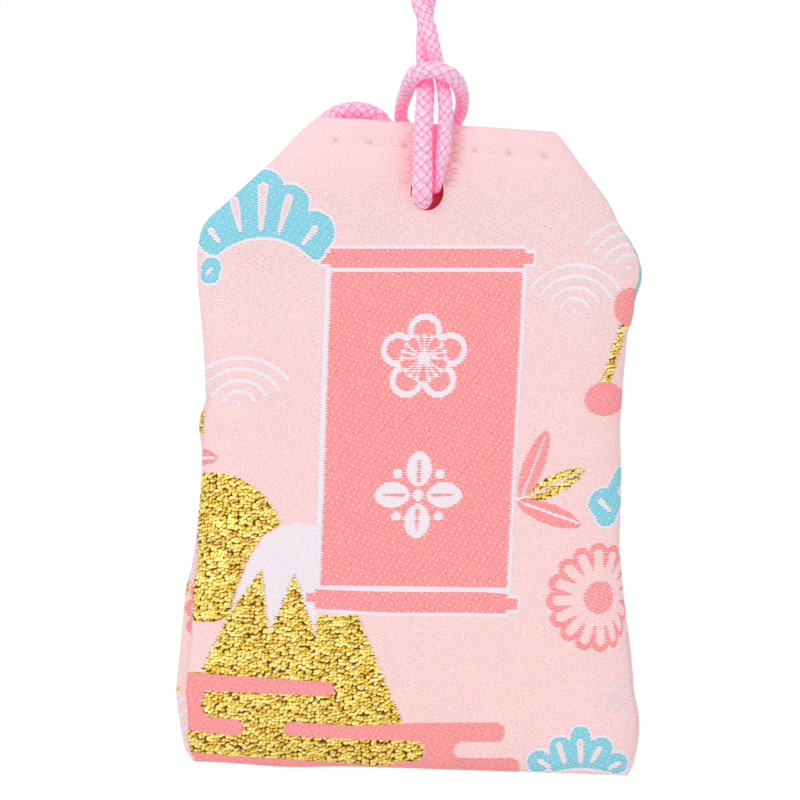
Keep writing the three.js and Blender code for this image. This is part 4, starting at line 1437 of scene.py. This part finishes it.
def build_strand(name, route, side, profile):
    """One strand, from the hole to the end knot. It bends above the hitch and twists in the loop."""
    out, up = np.array(LOOP_HALF).T
    path = curve_points(np.vstack([route, beside_axis(side * out, 0.0, up)]), CORD_STEP)
    cut_at = int(np.argmax(path[:, 2] >= CORD_JOIN))
    full = fullness(path, profile)
    lower = braided_cord(f"lower_cord_{name}", path, 0, cut_at + 1, full=full)
    dress(lower, "cord", None, f"front_strand_{name}", f"neck_strand_{name}")
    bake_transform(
        lower, "neck", "hitch", start=from_hole([0, 0, NECK_STILL]), end=from_hole([0, 0, NECK_TURN]),
    )
    upper = braided_cord(f"upper_cord_{name}", path, cut_at, None)
    dress(upper, "cord", None, f"loop_strand_{name}")
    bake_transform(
        upper, "loop", "neck", start=from_hole([0, 0, LOOP_STILL]), end=from_hole([0, 0, LOOP_TURN]),
    )


def build_cord():
    knot = end_knot()
    build_strand("left", LEFT_ROUTE, 1, FULL_LEFT)
    build_strand("right", RIGHT_ROUTE, -1, FULL_RIGHT)
    route = curve_points(LEFT_UPRIGHT + ARCH_ROUTE + RIGHT_UPRIGHT, CORD_STEP)
    full = fullness(route, FULL_HITCH)
    hitch = dress(braided_cord("hitch_cord", route, full=full), "cord", "hitch", "hitch_arch")
    ring = UPPER_LEVEL + RIGHT_EAR_ROUTE + LOWER_LEVEL + LEFT_EAR_ROUTE[::-1] + UPPER_LEVEL[:1]
    route = curve_points(ring, CORD_STEP)
    ears = dress(braided_cord("ear_cord", route), "cord", "hitch", "left_ear", "right_ear", "knot_core")


# Studio

def build_camera():
    data = bpy.data.cameras.new("camera")
    camera = add_object("camera", data)
    camera.location = (VIEW_MIDDLE[0] * MM, -CAMERA_DISTANCE * MM, VIEW_MIDDLE[1] * MM)
    camera.rotation_euler = (math.pi / 2, 0, 0)
    data.sensor_width = SENSOR
    data.lens = SENSOR * CAMERA_DISTANCE / VIEW_WIDTH
    data.clip_start = 0.01
    bpy.context.scene.camera = camera


def area_light(name, place, size, power):
    """A round lamp that points at the middle of the view."""
    data = bpy.data.lights.new(name, "AREA")
    data.shape = "DISK"
    data.size = size
    data.energy = power
    lamp = add_object(name, data)
    lamp.location = place
    aim = np.array([VIEW_MIDDLE[0] * MM, 0, VIEW_MIDDLE[1] * MM]) - place
    pitch = math.atan2(math.hypot(aim[0], aim[1]), -aim[2])
    lamp.rotation_euler = (pitch, 0, math.atan2(aim[1], aim[0]) - math.pi / 2)


def build_world():
    """Even light all round, with white behind the charm."""
    g = Graph(bpy.data.worlds.new("studio"))
    bpy.context.scene.world = g.owner
    path = g.node("ShaderNodeLightPath")
    seen = Value(g, path.outputs["Is Camera Ray"])
    for kind in ("Is Glossy Ray", "Is Transmission Ray"):
        seen = seen.at_least(Value(g, path.outputs[kind]))
    light = g.tree.nodes["Background"]
    g.fill(light, WHITE, SKY_STRENGTH)
    backdrop = g.out(0, "ShaderNodeBackground", WHITE, 1.0)
    both = g.out(0, "ShaderNodeMixShader", seen, Value(g, light.outputs[0]), backdrop)
    g.put(g.tree.nodes["World Output"].inputs["Surface"], both)


def build_floor():
    angle = np.linspace(0, TURN, FLOOR_GRID[1], endpoint=False)[None, :]
    radius = np.linspace(0.02, FLOOR_RADIUS, FLOOR_GRID[0])[:, None]
    level = np.full(FLOOR_GRID, BASE + HOLE[2] - FLOOR_DROP)
    places = np.stack([radius * np.cos(angle), radius * np.sin(angle), level], -1) * MM
    floor = flip(grid_mesh("floor", places, closed=True))
    floor.data.materials.append(plain_cloth("floor", (240, 238, 236), (248, 246, 244), 60.0, 0.9, 0.0))


bpy.context.scene.view_settings.view_transform = "Standard"
build_camera()
build_world()
for lamp in LAMPS:
    area_light(*lamp)
build_floor()
build_cord()
build_pouch()
for node, slot in (("stiffener_card", "card"), ("prayer_slip", "paper")):
    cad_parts[node].data.materials.clear()
    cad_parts[node].data.materials.append(materials[slot])
